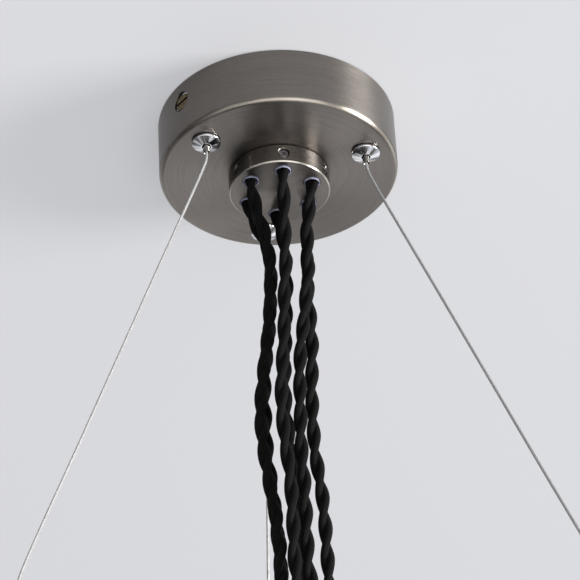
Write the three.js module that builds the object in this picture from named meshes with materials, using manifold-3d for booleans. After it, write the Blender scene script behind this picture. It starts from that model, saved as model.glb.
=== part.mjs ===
// Ceiling light: a round canopy with a cord hub, six twisted pendant cords on lampholders,
// and three suspension wires in cable grippers. Millimetres, +Z up.
// The origin is the middle of the ceiling plane, and everything hangs below it.
import * as THREE from 'three';
import { mergeVertices } from 'three/addons/utils/BufferGeometryUtils.js';
import Module from 'manifold-3d';

const wasm = await Module();
wasm.setup();

// Clearances shared by all pieces
const seatGap = 0.3;
const cutOverrun = 1;

// Facet counts
const largeSides = 56;
const mediumSides = 20;
const smallSides = 12;
const tinySides = 8;
const holeSides = 14;
const cordSides = 8;
const filletSteps = 3;

// Canopy cup
const canopyDiameter = 100;
const canopyHeight = 26.5;
const canopyWall = 1.2;
const canopyEdgeRadius = 2.2;
const canopyInnerRadius = 1.1;

// Hole pattern: the angle of the first cord from the -Y side, and the cords' pitch circle
const patternTurn = 7;
const cordCount = 6;
const cordPitchRadius = 14.6;

// Cord hub under the canopy
const hubHeight = 9;
const hubEdgeBevel = 0.45;

// Pendant cords: overall diameter of the twisted pair, and where a sleeve squeezes it
const cordDiameter = 6.2;
const cordNeckDiameter = 5.2;
const cordNeckOverlap = 0.5;

// Sleeve that lines each cord hole
const sleeveWall = 0.4;
const sleeveLip = 0.6;
const sleeveFlangeWidth = 1.1;
const sleeveFlangeHeight = 0.8;

// Grub screws that pinch the cords
const grubDiameter = 4.1;
const grubLength = 3;
const grubRecess = 0.6;
const grubEdgeBevel = 0.3;
const grubSocketFlats = 1.8;
const grubSocketDepth = 1.1;

// Screw and tag washer that fix the hub from inside
const hubScrewDiameter = 5;
const hubScrewHeadDiameter = 9;
const hubScrewHeadHeight = 2.6;
const hubScrewReach = 6;
const hubScrewSlotWidth = 1.2;
const hubScrewSlotDepth = 1.1;
const washerDiameter = 12.5;
const washerThickness = 0.8;
const washerTabWidth = 4;
const washerTabReach = 10.5;
const washerTabTurn = -83;

// Ceiling bracket
const bracketEndGap = 3.8;
const bracketWidth = 18;
const bracketThickness = 1.5;
const bracketBendRadius = 3;
const bracketEarDepth = 15;
const bracketTurn = -51;
const bracketSlotLength = 11;
const bracketSlotWidth = 4.5;
const bracketSlotInset = 14;

// Screws through the canopy's side into the bracket's ears
const sideScrewDrop = 9.5;
const sideScrewShankDiameter = 4;
const sideScrewShankLength = 8;
const sideScrewHeadDiameter = 8.2;
const sideScrewHeadHeight = 2.1;
const sideScrewHeadEdge = 0.6;
const sideScrewProud = -0.5;
const sideScrewSlotWidth = 1.1;
const sideScrewSlotDepth = 1;
const sideScrewHoleGap = 0.4;

// Cable grippers, and the angle of the first from the -Y side
const gripperTurn = -49;
const gripperEdgeInset = 11.4;
const gripperConeDiameter = 12;
const gripperConeRim = 0.9;
const gripperConeHeight = 2.5;
const gripperConeTipDiameter = 4.4;
const gripperBarrelDiameter = 8;
const gripperBarrelLength = 9;
const gripperCapThickness = 1;
const gripperBoreDiameter = 5.6;
const gripperThroatLength = 3.2;
const gripperTaperLength = 4.6;
const gripperNutFlats = 11;
const gripperNutHeight = 3;

// Release plunger of a gripper, with its balls and spring
const plungerDiameter = 3.2;
const plungerBoreDiameter = 1.9;
const plungerProud = 3;
const plungerMouthBevel = 0.35;
const plungerFlangeDiameter = 4.6;
const plungerFlangeHeight = 0.6;
const ballDiameter = 1.3;
const ballCount = 3;
const ballHeight = 2.9;
const springWireDiameter = 0.4;
const springTurns = 2.5;
const springMeanDiameter = 3.9;
const springLength = 2.9;

// Suspension wires, each with its lean and the swing of its lean away from straight outward
const wireDiameter = 1.2;
const wireLeans = [21.5, 20.2, 21];
const wireSwings = [-2, 0, -4];
const wireBendDrop = 6.5;
const wireBendStart = 0.5;
const wireFreeLength = 247;
const wireStrandGap = 0.3;
const wireEyeLength = 14;
const wireEyeWidth = 8.6;
const wireTailRise = 3.4;
const wireTailReach = 6;
const ferruleLength = 9;
const ferruleWall = 0.75;
const wireEndProud = 0.7;

// Terminal block under the bracket
const blockLength = 30;
const blockWidth = 17;
const blockHeight = 10;
const blockBevel = 0.8;
const portPitch = 4.2;
const portDiameter = 2.8;
const portDepth = 4;
const portsPerSide = 6;
const clampScrewDiameter = 2.4;
const clampScrewHeight = 1.6;
const clampScrewInset = 4.6;
const blockScrewDiameter = 2.6;
const blockScrewHeadDiameter = 4.4;
const blockScrewHeadHeight = 1.4;
const blockScrewOffset = 8.4;

// Leads inside the canopy
const leadDiameter = 1.8;
const leadSides = 6;
const leadSpread = 1.3;
const leadBulge = 4.2;
const leadRise = 2.6;
const leadSag = 2.2;
const leadTurnShare = 0.8;
const leadClimbShare = 0.12;
const cordTopRise = 5;

// Earth screw on the bracket
const earthScrewDiameter = 3.5;
const earthScrewHeadDiameter = 7;
const earthScrewHeadHeight = 1.9;
const earthScrewInset = 6;
const earthScrewSlotWidth = 1;
const earthScrewSlotDepth = 0.8;
const earthLeadStandOff = 4.2;
const earthLeadTurnShare = 0.3;
const earthLeadFallShare = 0.75;

// Lampholders
const holderPitchRadius = 28;
const holderDiameter = 25;
const holderLength = 42;
const holderWall = 2;
const holderShoulder = 7;
const holderNeckDiameter = 11;
const holderNeckLength = 5;
const holderSocketDepth = 26;
const holderRibDepth = 0.6;
const holderRibHeight = 1.6;
const holderRibDrop = 5;
const cordEndDrop = 305;

// Values that follow from the sizes above
const canopyRadius = canopyDiameter / 2;
const gripperPitchRadius = canopyRadius - gripperEdgeInset;
const bracketHalfLength = canopyRadius - canopyWall - bracketEndGap;
const bracketSlotOffset = bracketHalfLength - bracketSlotInset;
const earthScrewOffset = blockLength / 2 + earthScrewInset;
const canopyFace = -canopyHeight;
const canopyFloor = canopyFace + canopyWall;
const hubFace = canopyFace - hubHeight;
const cordRadius = cordDiameter / 2;
const grubInner = cordPitchRadius + cordNeckDiameter / 2 + seatGap;
const hubRadius = grubInner + grubLength + grubRecess;
const cordNeckRadius = cordNeckDiameter / 2;
const sleeveInner = cordNeckRadius + seatGap;
const sleeveOuter = sleeveInner + sleeveWall;
const cordHoleRadius = sleeveOuter + seatGap;
const grubRadius = grubDiameter / 2;
const grubHoleRadius = grubRadius + seatGap;
const cordTop = canopyFloor + cordTopRise;
const plungerThroatRadius = plungerDiameter / 2 + seatGap;
const wireRadius = wireDiameter / 2;
const degree = Math.PI / 180;
const fullTurn = 360;
const brushedNickel = { color: 0x8a8580, roughness: 0.36, metalness: 1 };
const polishedChrome = { color: 0xdadcdf, roughness: 0.12, metalness: 1 };
const zincSteel = { color: 0xa9abae, roughness: 0.42, metalness: 0.9 };
const agedBrass = { color: 0x8f7340, roughness: 0.35, metalness: 1 };
const blackFabric = { color: 0x0c0c0d, roughness: 0.95, metalness: 0 };
const blackPlastic = { color: 0x141414, roughness: 0.45, metalness: 0 };
const clearPlastic = { color: 0xdfe6f2, roughness: 0.35, metalness: 0 };
const whitePlastic = { color: 0xe9e7e0, roughness: 0.5, metalness: 0 };

// Indices of a welded mesh without the triangles that collapse to a line
function soundTriangles(index) {
  const kept = [];
  for (let i = 0; i < index.length; i += 3) {
    const [a, b, c] = [index[i], index[i + 1], index[i + 2]];
    if (a !== b && b !== c && c !== a) kept.push(a, b, c);
  }
  return kept;
}

// Six times the signed volume, below zero for a shape that is inside out
function signedVolume(position, index) {
  const [a, b, c] = [new THREE.Vector3(), new THREE.Vector3(), new THREE.Vector3()];
  let sum = 0;
  for (let i = 0; i < index.length; i += 3) {
    a.fromBufferAttribute(position, index[i]);
    b.fromBufferAttribute(position, index[i + 1]);
    c.fromBufferAttribute(position, index[i + 2]);
    sum += a.dot(b.cross(c));
  }
  return sum;
}

// One closed shell with shared vertices and its faces pointing out
function closedShell(geometry) {
  const bare = geometry.clone();
  bare.deleteAttribute('normal');
  bare.deleteAttribute('uv');
  const welded = mergeVertices(bare);
  const index = soundTriangles(welded.index.array);
  if (signedVolume(welded.attributes.position, index) < 0) index.reverse();
  welded.setIndex(index);
  return welded;
}

function toSolid(geometry) {
  const shell = closedShell(geometry);
  const vertProperties = new Float32Array(shell.attributes.position.array);
  const triVerts = new Uint32Array(shell.index.array);
  return new wasm.Manifold(new wasm.Mesh({ numProp: 3, vertProperties, triVerts }));
}

function toGeometry(body) {
  const { vertProperties, triVerts } = body.getMesh();
  const geometry = new THREE.BufferGeometry();
  geometry.setAttribute('position', new THREE.BufferAttribute(new Float32Array(vertProperties), 3));
  geometry.setIndex([...triVerts]);
  return geometry;
}

function cutAway(geometry, tools) {
  const body = tools.reduce((rest, tool) => rest.subtract(toSolid(tool)), toSolid(geometry));
  return toGeometry(body);
}

function joinAll(geometries) {
  return toGeometry(geometries.map(toSolid).reduce((whole, piece) => whole.add(piece)));
}

// Solid of revolution about Z from [radius, height] points that start and end on the axis
// or come back to the first point
function revolve(profile, sides) {
  const points = profile.map(([radius, height]) => new THREE.Vector2(radius, height));
  return closedShell(new THREE.LatheGeometry(points, sides).rotateX(Math.PI / 2));
}

// A ring of revolution, whose profile is closed here
function revolveRing(profile, sides) {
  return revolve([...profile, profile[0]], sides);
}

// Round rod along Z between two heights
function rod(radius, low, high, sides = holeSides) {
  const cylinder = new THREE.CylinderGeometry(radius, radius, high - low, sides);
  return cylinder.rotateX(Math.PI / 2).translate(0, 0, (low + high) / 2);
}

// Turns a shape made along +Z so that it points away from the Z axis at an angle from -Y
function pointOutward(geometry, angle) {
  return geometry.rotateX(Math.PI / 2).rotateZ(angle * degree);
}

// Place at a radius and an angle from the -Y side
function polar(radius, angle, height = 0) {
  return new THREE.Vector3(
    radius * Math.sin(angle * degree),
    -radius * Math.cos(angle * degree),
    height,
  );
}

// Quarter circle of [radius, height] points round a centre
function quarterArc(centreRadius, centreHeight, size, from) {
  const points = [];
  for (let i = 0; i <= filletSteps; i += 1) {
    const angle = (from + (90 * i) / filletSteps) * degree;
    points.push([centreRadius + size * Math.cos(angle), centreHeight + size * Math.sin(angle)]);
  }
  return points;
}

// Regular outline with flats this far apart
function flatsOutline(acrossFlats, sides) {
  const radius = acrossFlats / 2 / Math.cos(Math.PI / sides);
  const corner = (i) => new THREE.Vector2(
    radius * Math.cos((2 * Math.PI * i) / sides),
    radius * Math.sin((2 * Math.PI * i) / sides),
  );
  return Array.from({ length: sides }, (_, i) => corner(i));
}

function extrudeUp(shape, low, high, curveSegments = smallSides) {
  const settings = { depth: high - low, bevelEnabled: false, curveSegments };
  return new THREE.ExtrudeGeometry(shape, settings).translate(0, 0, low);
}

// A curve whose steps follow its own points, so that a bend gets more of them than a straight
class PointedCurve extends THREE.CatmullRomCurve3 {
  getPointAt(share, target) {
    return this.getPoint(share, target);
  }

  getTangentAt(share, target) {
    return this.getTangent(share, target);
  }
}

// Closed tube along a smooth curve through the points
function tube(points, radius, sides, stepsPerPoint = 1) {
  const path = new PointedCurve(points, false, 'centripetal');
  const outline = [];
  for (let i = 0; i < sides; i += 1) {
    const angle = (2 * Math.PI * i) / sides;
    outline.push(new THREE.Vector2(radius * Math.cos(angle), radius * Math.sin(angle)));
  }
  const steps = (points.length - 1) * stepsPerPoint;
  const shape = new THREE.Shape(outline);
  return closedShell(new THREE.ExtrudeGeometry(shape, { steps, extrudePath: path }));
}

const model = new THREE.Group();

function addPiece(name, geometry, finish, parent = model) {
  const shown = geometry.index ? geometry.toNonIndexed() : geometry.clone();
  shown.computeVertexNormals();
  const piece = new THREE.Mesh(shown, new THREE.MeshStandardMaterial(finish));
  piece.name = name;
  parent.add(piece);
  return piece;
}

const cordAngle = (k) => patternTurn + (fullTurn / cordCount) * (k - 1);
const gripperCount = 3;
const gripperAngle = (k) => gripperTurn + (fullTurn / gripperCount) * (k - 1);
const sideScrewAngle = (k) => bracketTurn + (fullTurn / 2) * (k - 1);
const cordNumbers = Array.from({ length: cordCount }, (_, i) => i + 1);
const gripperNumbers = Array.from({ length: gripperCount }, (_, i) => i + 1);

// Canopy: a drawn cup, open towards the ceiling
function canopyCup() {
  const innerRadius = canopyRadius - canopyWall;
  const cup = revolve([
    [0, canopyFace],
    ...quarterArc(canopyRadius - canopyEdgeRadius, canopyFace + canopyEdgeRadius, canopyEdgeRadius, -90),
    [canopyRadius, 0],
    [innerRadius, 0],
    ...quarterArc(innerRadius - canopyInnerRadius, canopyFloor + canopyInnerRadius,
      canopyInnerRadius, -90).reverse(),
    [0, canopyFloor],
  ], largeSides);
  const low = canopyFace - cutOverrun;
  const high = canopyFloor + cutOverrun;
  const cordHoles = cordNumbers.map((k) => {
    const at = polar(cordPitchRadius, cordAngle(k));
    return rod(cordHoleRadius, low, high).translate(at.x, at.y, 0);
  });
  const gripperHoles = gripperNumbers.map((k) => {
    const at = polar(gripperPitchRadius, gripperAngle(k));
    return rod(gripperBarrelDiameter / 2 + seatGap, low, high).translate(at.x, at.y, 0);
  });
  const sideHoles = [1, 2].map((k) => {
    const radius = sideScrewHeadDiameter / 2 + sideScrewHoleGap;
    const drill = rod(radius, innerRadius - cutOverrun, canopyRadius + cutOverrun);
    return pointOutward(drill, sideScrewAngle(k)).translate(0, 0, -sideScrewDrop);
  });
  const screwHole = rod(hubScrewDiameter / 2 + seatGap, low, high);
  return cutAway(cup, [...cordHoles, ...gripperHoles, ...sideHoles, screwHole]);
}

// Hub: a thick turned disc with six cord holes and a grub screw hole into each
function cordHub() {
  const top = canopyFace - seatGap;
  const disc = revolve([
    [0, hubFace],
    [hubRadius - hubEdgeBevel, hubFace],
    [hubRadius, hubFace + hubEdgeBevel],
    [hubRadius, top],
    [0, top],
  ], largeSides);
  const tools = [rod(hubScrewDiameter / 2 + seatGap, top - hubScrewReach - seatGap, top + cutOverrun)];
  const grubHeight = (hubFace + canopyFace) / 2;
  cordNumbers.forEach((k) => {
    const at = polar(cordPitchRadius, cordAngle(k));
    tools.push(rod(cordHoleRadius, hubFace - cutOverrun, top + cutOverrun).translate(at.x, at.y, 0));
    const drill = rod(grubHoleRadius, cordPitchRadius, hubRadius + cutOverrun);
    tools.push(pointOutward(drill, cordAngle(k)).translate(0, 0, grubHeight));
  });
  return cutAway(disc, tools);
}

// Sleeve through the hub and the canopy, with a flange inside and a window for its grub screw
function cordSleeve() {
  const flangeLow = canopyFloor + seatGap;
  const flangeHigh = flangeLow + sleeveFlangeHeight;
  const ring = revolveRing([
    [sleeveInner, hubFace - sleeveLip],
    [sleeveOuter, hubFace - sleeveLip],
    [sleeveOuter, flangeLow],
    [sleeveOuter + sleeveFlangeWidth, flangeLow],
    [sleeveOuter + sleeveFlangeWidth, flangeHigh],
    [sleeveInner, flangeHigh],
  ], smallSides);
  const window = rod(grubHoleRadius, 0, sleeveOuter + cutOverrun, tinySides);
  return cutAway(ring, [pointOutward(window, 0).translate(0, 0, (hubFace + canopyFace) / 2)]);
}

// Grub screw along +Z, from its tip to its socket end
function grubScrew() {
  const body = revolve([
    [0, 0],
    [grubRadius - grubEdgeBevel, 0],
    [grubRadius, grubEdgeBevel],
    [grubRadius, grubLength - grubEdgeBevel],
    [grubRadius - grubEdgeBevel, grubLength],
    [0, grubLength],
  ], smallSides);
  const socket = new THREE.Shape(flatsOutline(grubSocketFlats, 6));
  return cutAway(body, [extrudeUp(socket, grubLength - grubSocketDepth, grubLength + cutOverrun)]);
}

// Slot cutter across a screw head, from a depth up past its top
function slotTool(width, reach, low, high) {
  return new THREE.BoxGeometry(reach, width, high - low).translate(0, 0, (low + high) / 2);
}

function hubScrew() {
  const seat = canopyFloor + seatGap + washerThickness + seatGap;
  const top = seat + hubScrewHeadHeight;
  const body = revolve([
    [0, canopyFace - seatGap - hubScrewReach],
    [hubScrewDiameter / 2, canopyFace - seatGap - hubScrewReach],
    [hubScrewDiameter / 2, seat],
    [hubScrewHeadDiameter / 2, seat],
    [hubScrewHeadDiameter / 2, top - hubScrewHeadHeight / 3],
    [hubScrewHeadDiameter / 3, top],
    [0, top],
  ], smallSides);
  const tool = slotTool(hubScrewSlotWidth, hubScrewHeadDiameter + cutOverrun,
    top - hubScrewSlotDepth, top + cutOverrun);
  return cutAway(body, [tool]);
}

// Washer under the hub screw, with a tab that takes the earth lead
function hubWasher() {
  const low = canopyFloor + seatGap;
  const high = low + washerThickness;
  const disc = rod(washerDiameter / 2, low, high, mediumSides);
  const tab = new THREE.BoxGeometry(washerTabWidth, washerTabReach, washerThickness);
  tab.translate(0, -washerTabReach / 2, (low + high) / 2).rotateZ(washerTabTurn * degree);
  const hole = rod(hubScrewDiameter / 2 + seatGap, low - cutOverrun, high + cutOverrun);
  return cutAway(joinAll([disc, tab]), [hole]);
}

// Bracket: a strap along local X with both ends turned down into tapped ears
function ceilingBracket() {
  const end = bracketHalfLength;
  const inner = end - bracketThickness;
  const bend = bracketBendRadius;
  const innerBend = bend - bracketThickness;
  const outline = new THREE.Shape();
  outline.moveTo(-end, -bracketEarDepth);
  outline.lineTo(-inner, -bracketEarDepth);
  outline.lineTo(-inner, -bend);
  outline.absarc(-end + bend, -bend, innerBend, Math.PI, Math.PI / 2, true);
  outline.absarc(end - bend, -bend, innerBend, Math.PI / 2, 0, true);
  outline.lineTo(inner, -bracketEarDepth);
  outline.lineTo(end, -bracketEarDepth);
  outline.lineTo(end, -bend);
  outline.absarc(end - bend, -bend, bend, 0, Math.PI / 2, false);
  outline.absarc(-end + bend, -bend, bend, Math.PI / 2, Math.PI, false);
  const strap = extrudeUp(outline, -bracketWidth / 2, bracketWidth / 2, filletSteps);
  strap.rotateX(Math.PI / 2);
  const slotHalf = (bracketSlotLength - bracketSlotWidth) / 2;
  const slot = new THREE.Shape();
  slot.absarc(slotHalf, 0, bracketSlotWidth / 2, -Math.PI / 2, Math.PI / 2, false);
  slot.absarc(-slotHalf, 0, bracketSlotWidth / 2, Math.PI / 2, (3 * Math.PI) / 2, false);
  const low = -bracketThickness - cutOverrun;
  const slots = [-1, 1].map((side) => (
    extrudeUp(slot, low, cutOverrun, filletSteps).translate(side * bracketSlotOffset, 0, 0)
  ));
  const screwBore = rod(sideScrewShankDiameter / 2 + seatGap, -end - cutOverrun, end + cutOverrun);
  screwBore.rotateY(Math.PI / 2).translate(0, 0, -sideScrewDrop);
  const earthHole = rod(earthScrewDiameter / 2 + seatGap, low, cutOverrun, tinySides);
  const blockHoles = [-1, 1].map((side) => (
    rod(blockScrewDiameter / 2 + seatGap, low, cutOverrun, tinySides)
      .translate(side * blockScrewOffset, 0, 0)
  ));
  earthHole.translate(earthScrewOffset, 0, 0);
  return cutAway(strap, [...slots, screwBore, earthHole, ...blockHoles]);
}

// Side screw along +Z: the shank below zero, the head above
function sideScrew() {
  const body = revolve([
    [0, -sideScrewShankLength],
    [sideScrewShankDiameter / 2, -sideScrewShankLength],
    [sideScrewShankDiameter / 2, 0],
    [sideScrewHeadDiameter / 2, 0],
    [sideScrewHeadDiameter / 2, sideScrewHeadHeight - sideScrewHeadEdge],
    [sideScrewHeadDiameter / 2 - sideScrewHeadEdge, sideScrewHeadHeight],
    [0, sideScrewHeadHeight],
  ], mediumSides);
  const tool = slotTool(sideScrewSlotWidth, sideScrewHeadDiameter + cutOverrun,
    sideScrewHeadHeight - sideScrewSlotDepth, sideScrewHeadHeight + cutOverrun);
  return cutAway(body, [tool]);
}

// Heights inside a gripper, measured from the canopy's face
const coneTip = -seatGap - gripperConeHeight;
const barrelTop = canopyWall + gripperBarrelLength;
const throatTop = coneTip + gripperThroatLength;
const taperTop = throatTop + gripperTaperLength;
const chamberTop = barrelTop - gripperCapThickness;
const plungerFoot = coneTip - plungerProud;
const plungerFlange = chamberTop - seatGap - springLength - seatGap;

// Gripper body: chrome cone outside, hollow threaded barrel inside the canopy
function gripperBody() {
  const coneTop = -seatGap;
  return revolveRing([
    [plungerThroatRadius, coneTip],
    [gripperConeTipDiameter / 2, coneTip],
    [gripperConeDiameter / 2, coneTop - gripperConeRim],
    [gripperConeDiameter / 2, coneTop],
    [gripperBarrelDiameter / 2, coneTop],
    [gripperBarrelDiameter / 2, barrelTop],
    [plungerThroatRadius, barrelTop],
    [plungerThroatRadius, chamberTop],
    [gripperBoreDiameter / 2, chamberTop],
    [gripperBoreDiameter / 2, taperTop],
    [plungerThroatRadius, throatTop],
  ], mediumSides);
}

function gripperNut() {
  const outline = new THREE.Shape(flatsOutline(gripperNutFlats, 6));
  outline.holes.push(new THREE.Path().absarc(0, 0, gripperBarrelDiameter / 2 + seatGap, 0, 2 * Math.PI));
  const low = canopyWall + seatGap;
  return extrudeUp(outline, low, low + gripperNutHeight);
}

// Plunger: a hollow nozzle whose upper end is the cage, with the gripping balls seated in its wall
function gripperPlunger() {
  const body = revolveRing([
    [plungerBoreDiameter / 2 + plungerMouthBevel, plungerFoot],
    [plungerDiameter / 2, plungerFoot],
    [plungerDiameter / 2, plungerFlange - plungerFlangeHeight],
    [plungerFlangeDiameter / 2, plungerFlange - plungerFlangeHeight],
    [plungerFlangeDiameter / 2, plungerFlange],
    [plungerBoreDiameter / 2, plungerFlange],
    [plungerBoreDiameter / 2, plungerFoot + plungerMouthBevel],
  ], smallSides);
  const reach = wireRadius + seatGap + ballDiameter / 2;
  const balls = Array.from({ length: ballCount }, (_, i) => {
    const at = polar(reach, (fullTurn / ballCount) * i, throatTop + ballHeight);
    return new THREE.SphereGeometry(ballDiameter / 2, tinySides, 6).translate(at.x, at.y, at.z);
  });
  return joinAll([body, ...balls]);
}

// Release spring between the plunger's flange and the barrel's cap, one unbroken wire
function springPoints() {
  const low = plungerFlange + seatGap + springWireDiameter / 2;
  const high = chamberTop - seatGap - springWireDiameter / 2;
  const stepsPerTurn = 8;
  const count = Math.round(springTurns * stepsPerTurn);
  return Array.from({ length: count + 1 }, (_, i) => (
    polar(springMeanDiameter / 2, (fullTurn * i) / stepsPerTurn, low + ((high - low) * i) / count)
  ));
}

// Least gap between turns, on points a full turn apart or nearly so
function leastSpringGap() {
  const points = springPoints();
  const apart = [];
  points.forEach((point, i) => {
    points.slice(i + 6).forEach((other) => apart.push(point.distanceTo(other)));
  });
  return Math.min(...apart) - springWireDiameter;
}

// Half an eye from its ferrule to its tip: shares of its length and of its half width
const eyeShares = [[0.06, 0.16], [0.3, 0.62], [0.6, 1], [0.86, 0.74], [1, 0]];

// Suspension wire in the plane of its gripper: local X outward, local Z up from the canopy's face.
// It comes from a short tail inside, runs down through the gripper, leans out and ends in an eye.
function wirePoints(k) {
  const lean = wireLeans[k - 1] * degree;
  const mouth = plungerFoot - wireBendStart;
  const bendEnd = mouth - wireBendDrop;
  const bendOut = (wireBendDrop * Math.tan(lean)) / 2;
  const strand = (wireDiameter + wireStrandGap) / 2;
  const along = (length, aside) => new THREE.Vector3(
    bendOut + length * Math.sin(lean) + aside * Math.cos(lean),
    0,
    bendEnd - length * Math.cos(lean) + aside * Math.sin(lean),
  );
  const upright = (x, z) => new THREE.Vector3(x, 0, z);
  const ferruleStart = wireFreeLength;
  const ferruleEnd = ferruleStart + ferruleLength;
  const eyeHalf = wireEyeWidth / 2;
  const half = eyeShares.map(([reachShare, widthShare]) => (
    [ferruleEnd + reachShare * wireEyeLength, Math.max(strand, widthShare * eyeHalf)]
  ));
  const tip = half.pop();
  const tailTop = barrelTop + wireTailRise;
  return [
    upright(-wireTailReach, tailTop),
    upright(-wireTailReach / 2, tailTop - wireTailRise / 8),
    upright(-wireTailReach / 8, barrelTop + wireTailRise / 2),
    upright(0, barrelTop),
    upright(0, throatTop),
    upright(0, coneTip),
    upright(0, mouth),
    upright(bendOut / 4, mouth - wireBendDrop / 2),
    along(0, 0),
    along(ferruleStart / 3, 0),
    along((2 * ferruleStart) / 3, 0),
    along(ferruleStart - ferruleLength, 0),
    along(ferruleStart - wireDiameter, -strand),
    along(ferruleEnd, -strand),
    ...half.map(([length, width]) => along(length, -width)),
    along(tip[0], 0),
    ...half.reverse().map(([length, width]) => along(length, width)),
    along(ferruleEnd, strand),
    along(ferruleStart - wireEndProud, strand),
  ];
}

// Ferrule: an oval sleeve pressed over both strands, along local Z
function wireFerrule() {
  const strand = (wireDiameter + wireStrandGap) / 2;
  const oval = (shape, radius) => {
    shape.absarc(strand, 0, radius, -Math.PI / 2, Math.PI / 2, false);
    shape.absarc(-strand, 0, radius, Math.PI / 2, (3 * Math.PI) / 2, false);
    return shape;
  };
  const inner = wireRadius + seatGap;
  const outline = oval(new THREE.Shape(), inner + ferruleWall);
  outline.holes.push(oval(new THREE.Path(), inner));
  return extrudeUp(outline, -ferruleLength / 2, ferruleLength / 2, filletSteps * 2);
}

// Terminal block in the bracket's frame: X along the strap, ports on both long sides
const blockTop = -bracketThickness - seatGap;
const blockFoot = blockTop - blockHeight;
const portHeight = blockTop - blockHeight / 2;
const portOffset = (i) => (i - (portsPerSide - 1) / 2) * portPitch;
const portNumbers = Array.from({ length: portsPerSide }, (_, i) => i);

function terminalBlock() {
  const halfWidth = blockWidth / 2;
  const outline = new THREE.Shape([
    new THREE.Vector2(-halfWidth, blockTop),
    new THREE.Vector2(-halfWidth, blockFoot + blockBevel),
    new THREE.Vector2(-halfWidth + blockBevel, blockFoot),
    new THREE.Vector2(halfWidth - blockBevel, blockFoot),
    new THREE.Vector2(halfWidth, blockFoot + blockBevel),
    new THREE.Vector2(halfWidth, blockTop),
  ]);
  const body = extrudeUp(outline, -blockLength / 2, blockLength / 2);
  body.rotateX(Math.PI / 2).rotateZ(Math.PI / 2);
  const tools = [];
  const wellDepth = blockBevel + clampScrewHeight / 2;
  [-1, 1].forEach((side) => {
    portNumbers.forEach((i) => {
      const port = rod(portDiameter / 2, -portDepth, cutOverrun, 8).rotateX((-side * Math.PI) / 2);
      tools.push(port.translate(portOffset(i), (side * blockWidth) / 2, portHeight));
      const well = rod(clampScrewDiameter / 2 + seatGap, blockFoot - cutOverrun, blockFoot + wellDepth, 8);
      tools.push(well.translate(portOffset(i), side * clampScrewInset, 0));
    });
    const bore = rod(blockScrewDiameter / 2 + seatGap, blockFoot - cutOverrun, blockTop + cutOverrun, 8);
    tools.push(bore.translate(side * blockScrewOffset, 0, 0));
  });
  const screwLow = blockFoot + blockBevel;
  const screws = [-1, 1].flatMap((side) => portNumbers.map((i) => (
    rod(clampScrewDiameter / 2, screwLow, screwLow + clampScrewHeight, 8)
      .translate(portOffset(i), side * clampScrewInset, 0)
  )));
  return joinAll([cutAway(body, tools), ...screws]);
}

// Screw that holds the block to the strap, from its head below the block to the strap's top
function blockScrew() {
  const seat = blockFoot - seatGap;
  return revolve([
    [0, seat - blockScrewHeadHeight],
    [blockScrewHeadDiameter / 2, seat - blockScrewHeadHeight],
    [blockScrewHeadDiameter / 2, seat],
    [blockScrewDiameter / 2, seat],
    [blockScrewDiameter / 2, -seatGap],
    [0, -seatGap],
  ], tinySides);
}

function earthScrew() {
  const seat = -bracketThickness - seatGap;
  const body = revolve([
    [0, seat - earthScrewHeadHeight],
    [earthScrewHeadDiameter / 2, seat - earthScrewHeadHeight],
    [earthScrewHeadDiameter / 2, seat],
    [earthScrewDiameter / 2, seat],
    [earthScrewDiameter / 2, -seatGap],
    [0, -seatGap],
  ], smallSides);
  const tool = slotTool(earthScrewSlotWidth, earthScrewHeadDiameter + cutOverrun,
    seat - earthScrewHeadHeight - cutOverrun, seat - earthScrewHeadHeight + earthScrewSlotDepth);
  return cutAway(body, [tool]);
}

// The bracket's own frame has its X axis along the strap
const bracketFrame = (bracketTurn - 90) * degree;
const zAxis = new THREE.Vector3(0, 0, 1);

// Each long side of the block serves three cords, listed along the strap
const servedCords = { '-1': [3, 4, 5], 1: [2, 1, 6] };

// The two leads of a cord: out of its top, round to the block's side and into two ports
function leadPoints(cord, side, order, pole) {
  const start = polar(cordPitchRadius, cordAngle(cord)).applyAxisAngle(zAxis, -bracketFrame);
  const face = (side * blockWidth) / 2;
  const x = portOffset(2 * order + (pole + 1) / 2);
  const from = start.x + pole * leadSpread;
  const outside = face + side * leadBulge;
  const points = [
    [from, start.y, cordTop - leadDiameter / 2],
    [from, start.y, cordTop + leadRise],
    [
      THREE.MathUtils.lerp(from, x, leadTurnShare),
      THREE.MathUtils.lerp(start.y, outside, leadTurnShare),
      THREE.MathUtils.lerp(cordTop + leadRise, portHeight, leadClimbShare),
    ],
    [x, outside, portHeight - leadSag],
    [x, face + (side * leadBulge) / 3, portHeight],
    [x, face - side * (portDepth - seatGap), portHeight],
  ];
  return points.map((point) => new THREE.Vector3(...point).applyAxisAngle(zAxis, bracketFrame));
}

// A cord's sheathed tube with its two leads
function pendantCord(cord) {
  const route = cordRoutes[cord].map((point) => new THREE.Vector3(...point));
  const side = servedCords[1].includes(cord) ? 1 : -1;
  const order = servedCords[side].indexOf(cord);
  const leads = [-1, 1].map((pole) => (
    tube(leadPoints(cord, side, order, pole), leadDiameter / 2, leadSides)
  ));
  const neckEnd = route[1].clone().setZ(route[1].z - cordNeckOverlap);
  const neck = tube([route[0], neckEnd], cordNeckRadius, cordSides);
  return joinAll([neck, tube(route.slice(1), cordRadius, cordSides), ...leads]);
}

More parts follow.
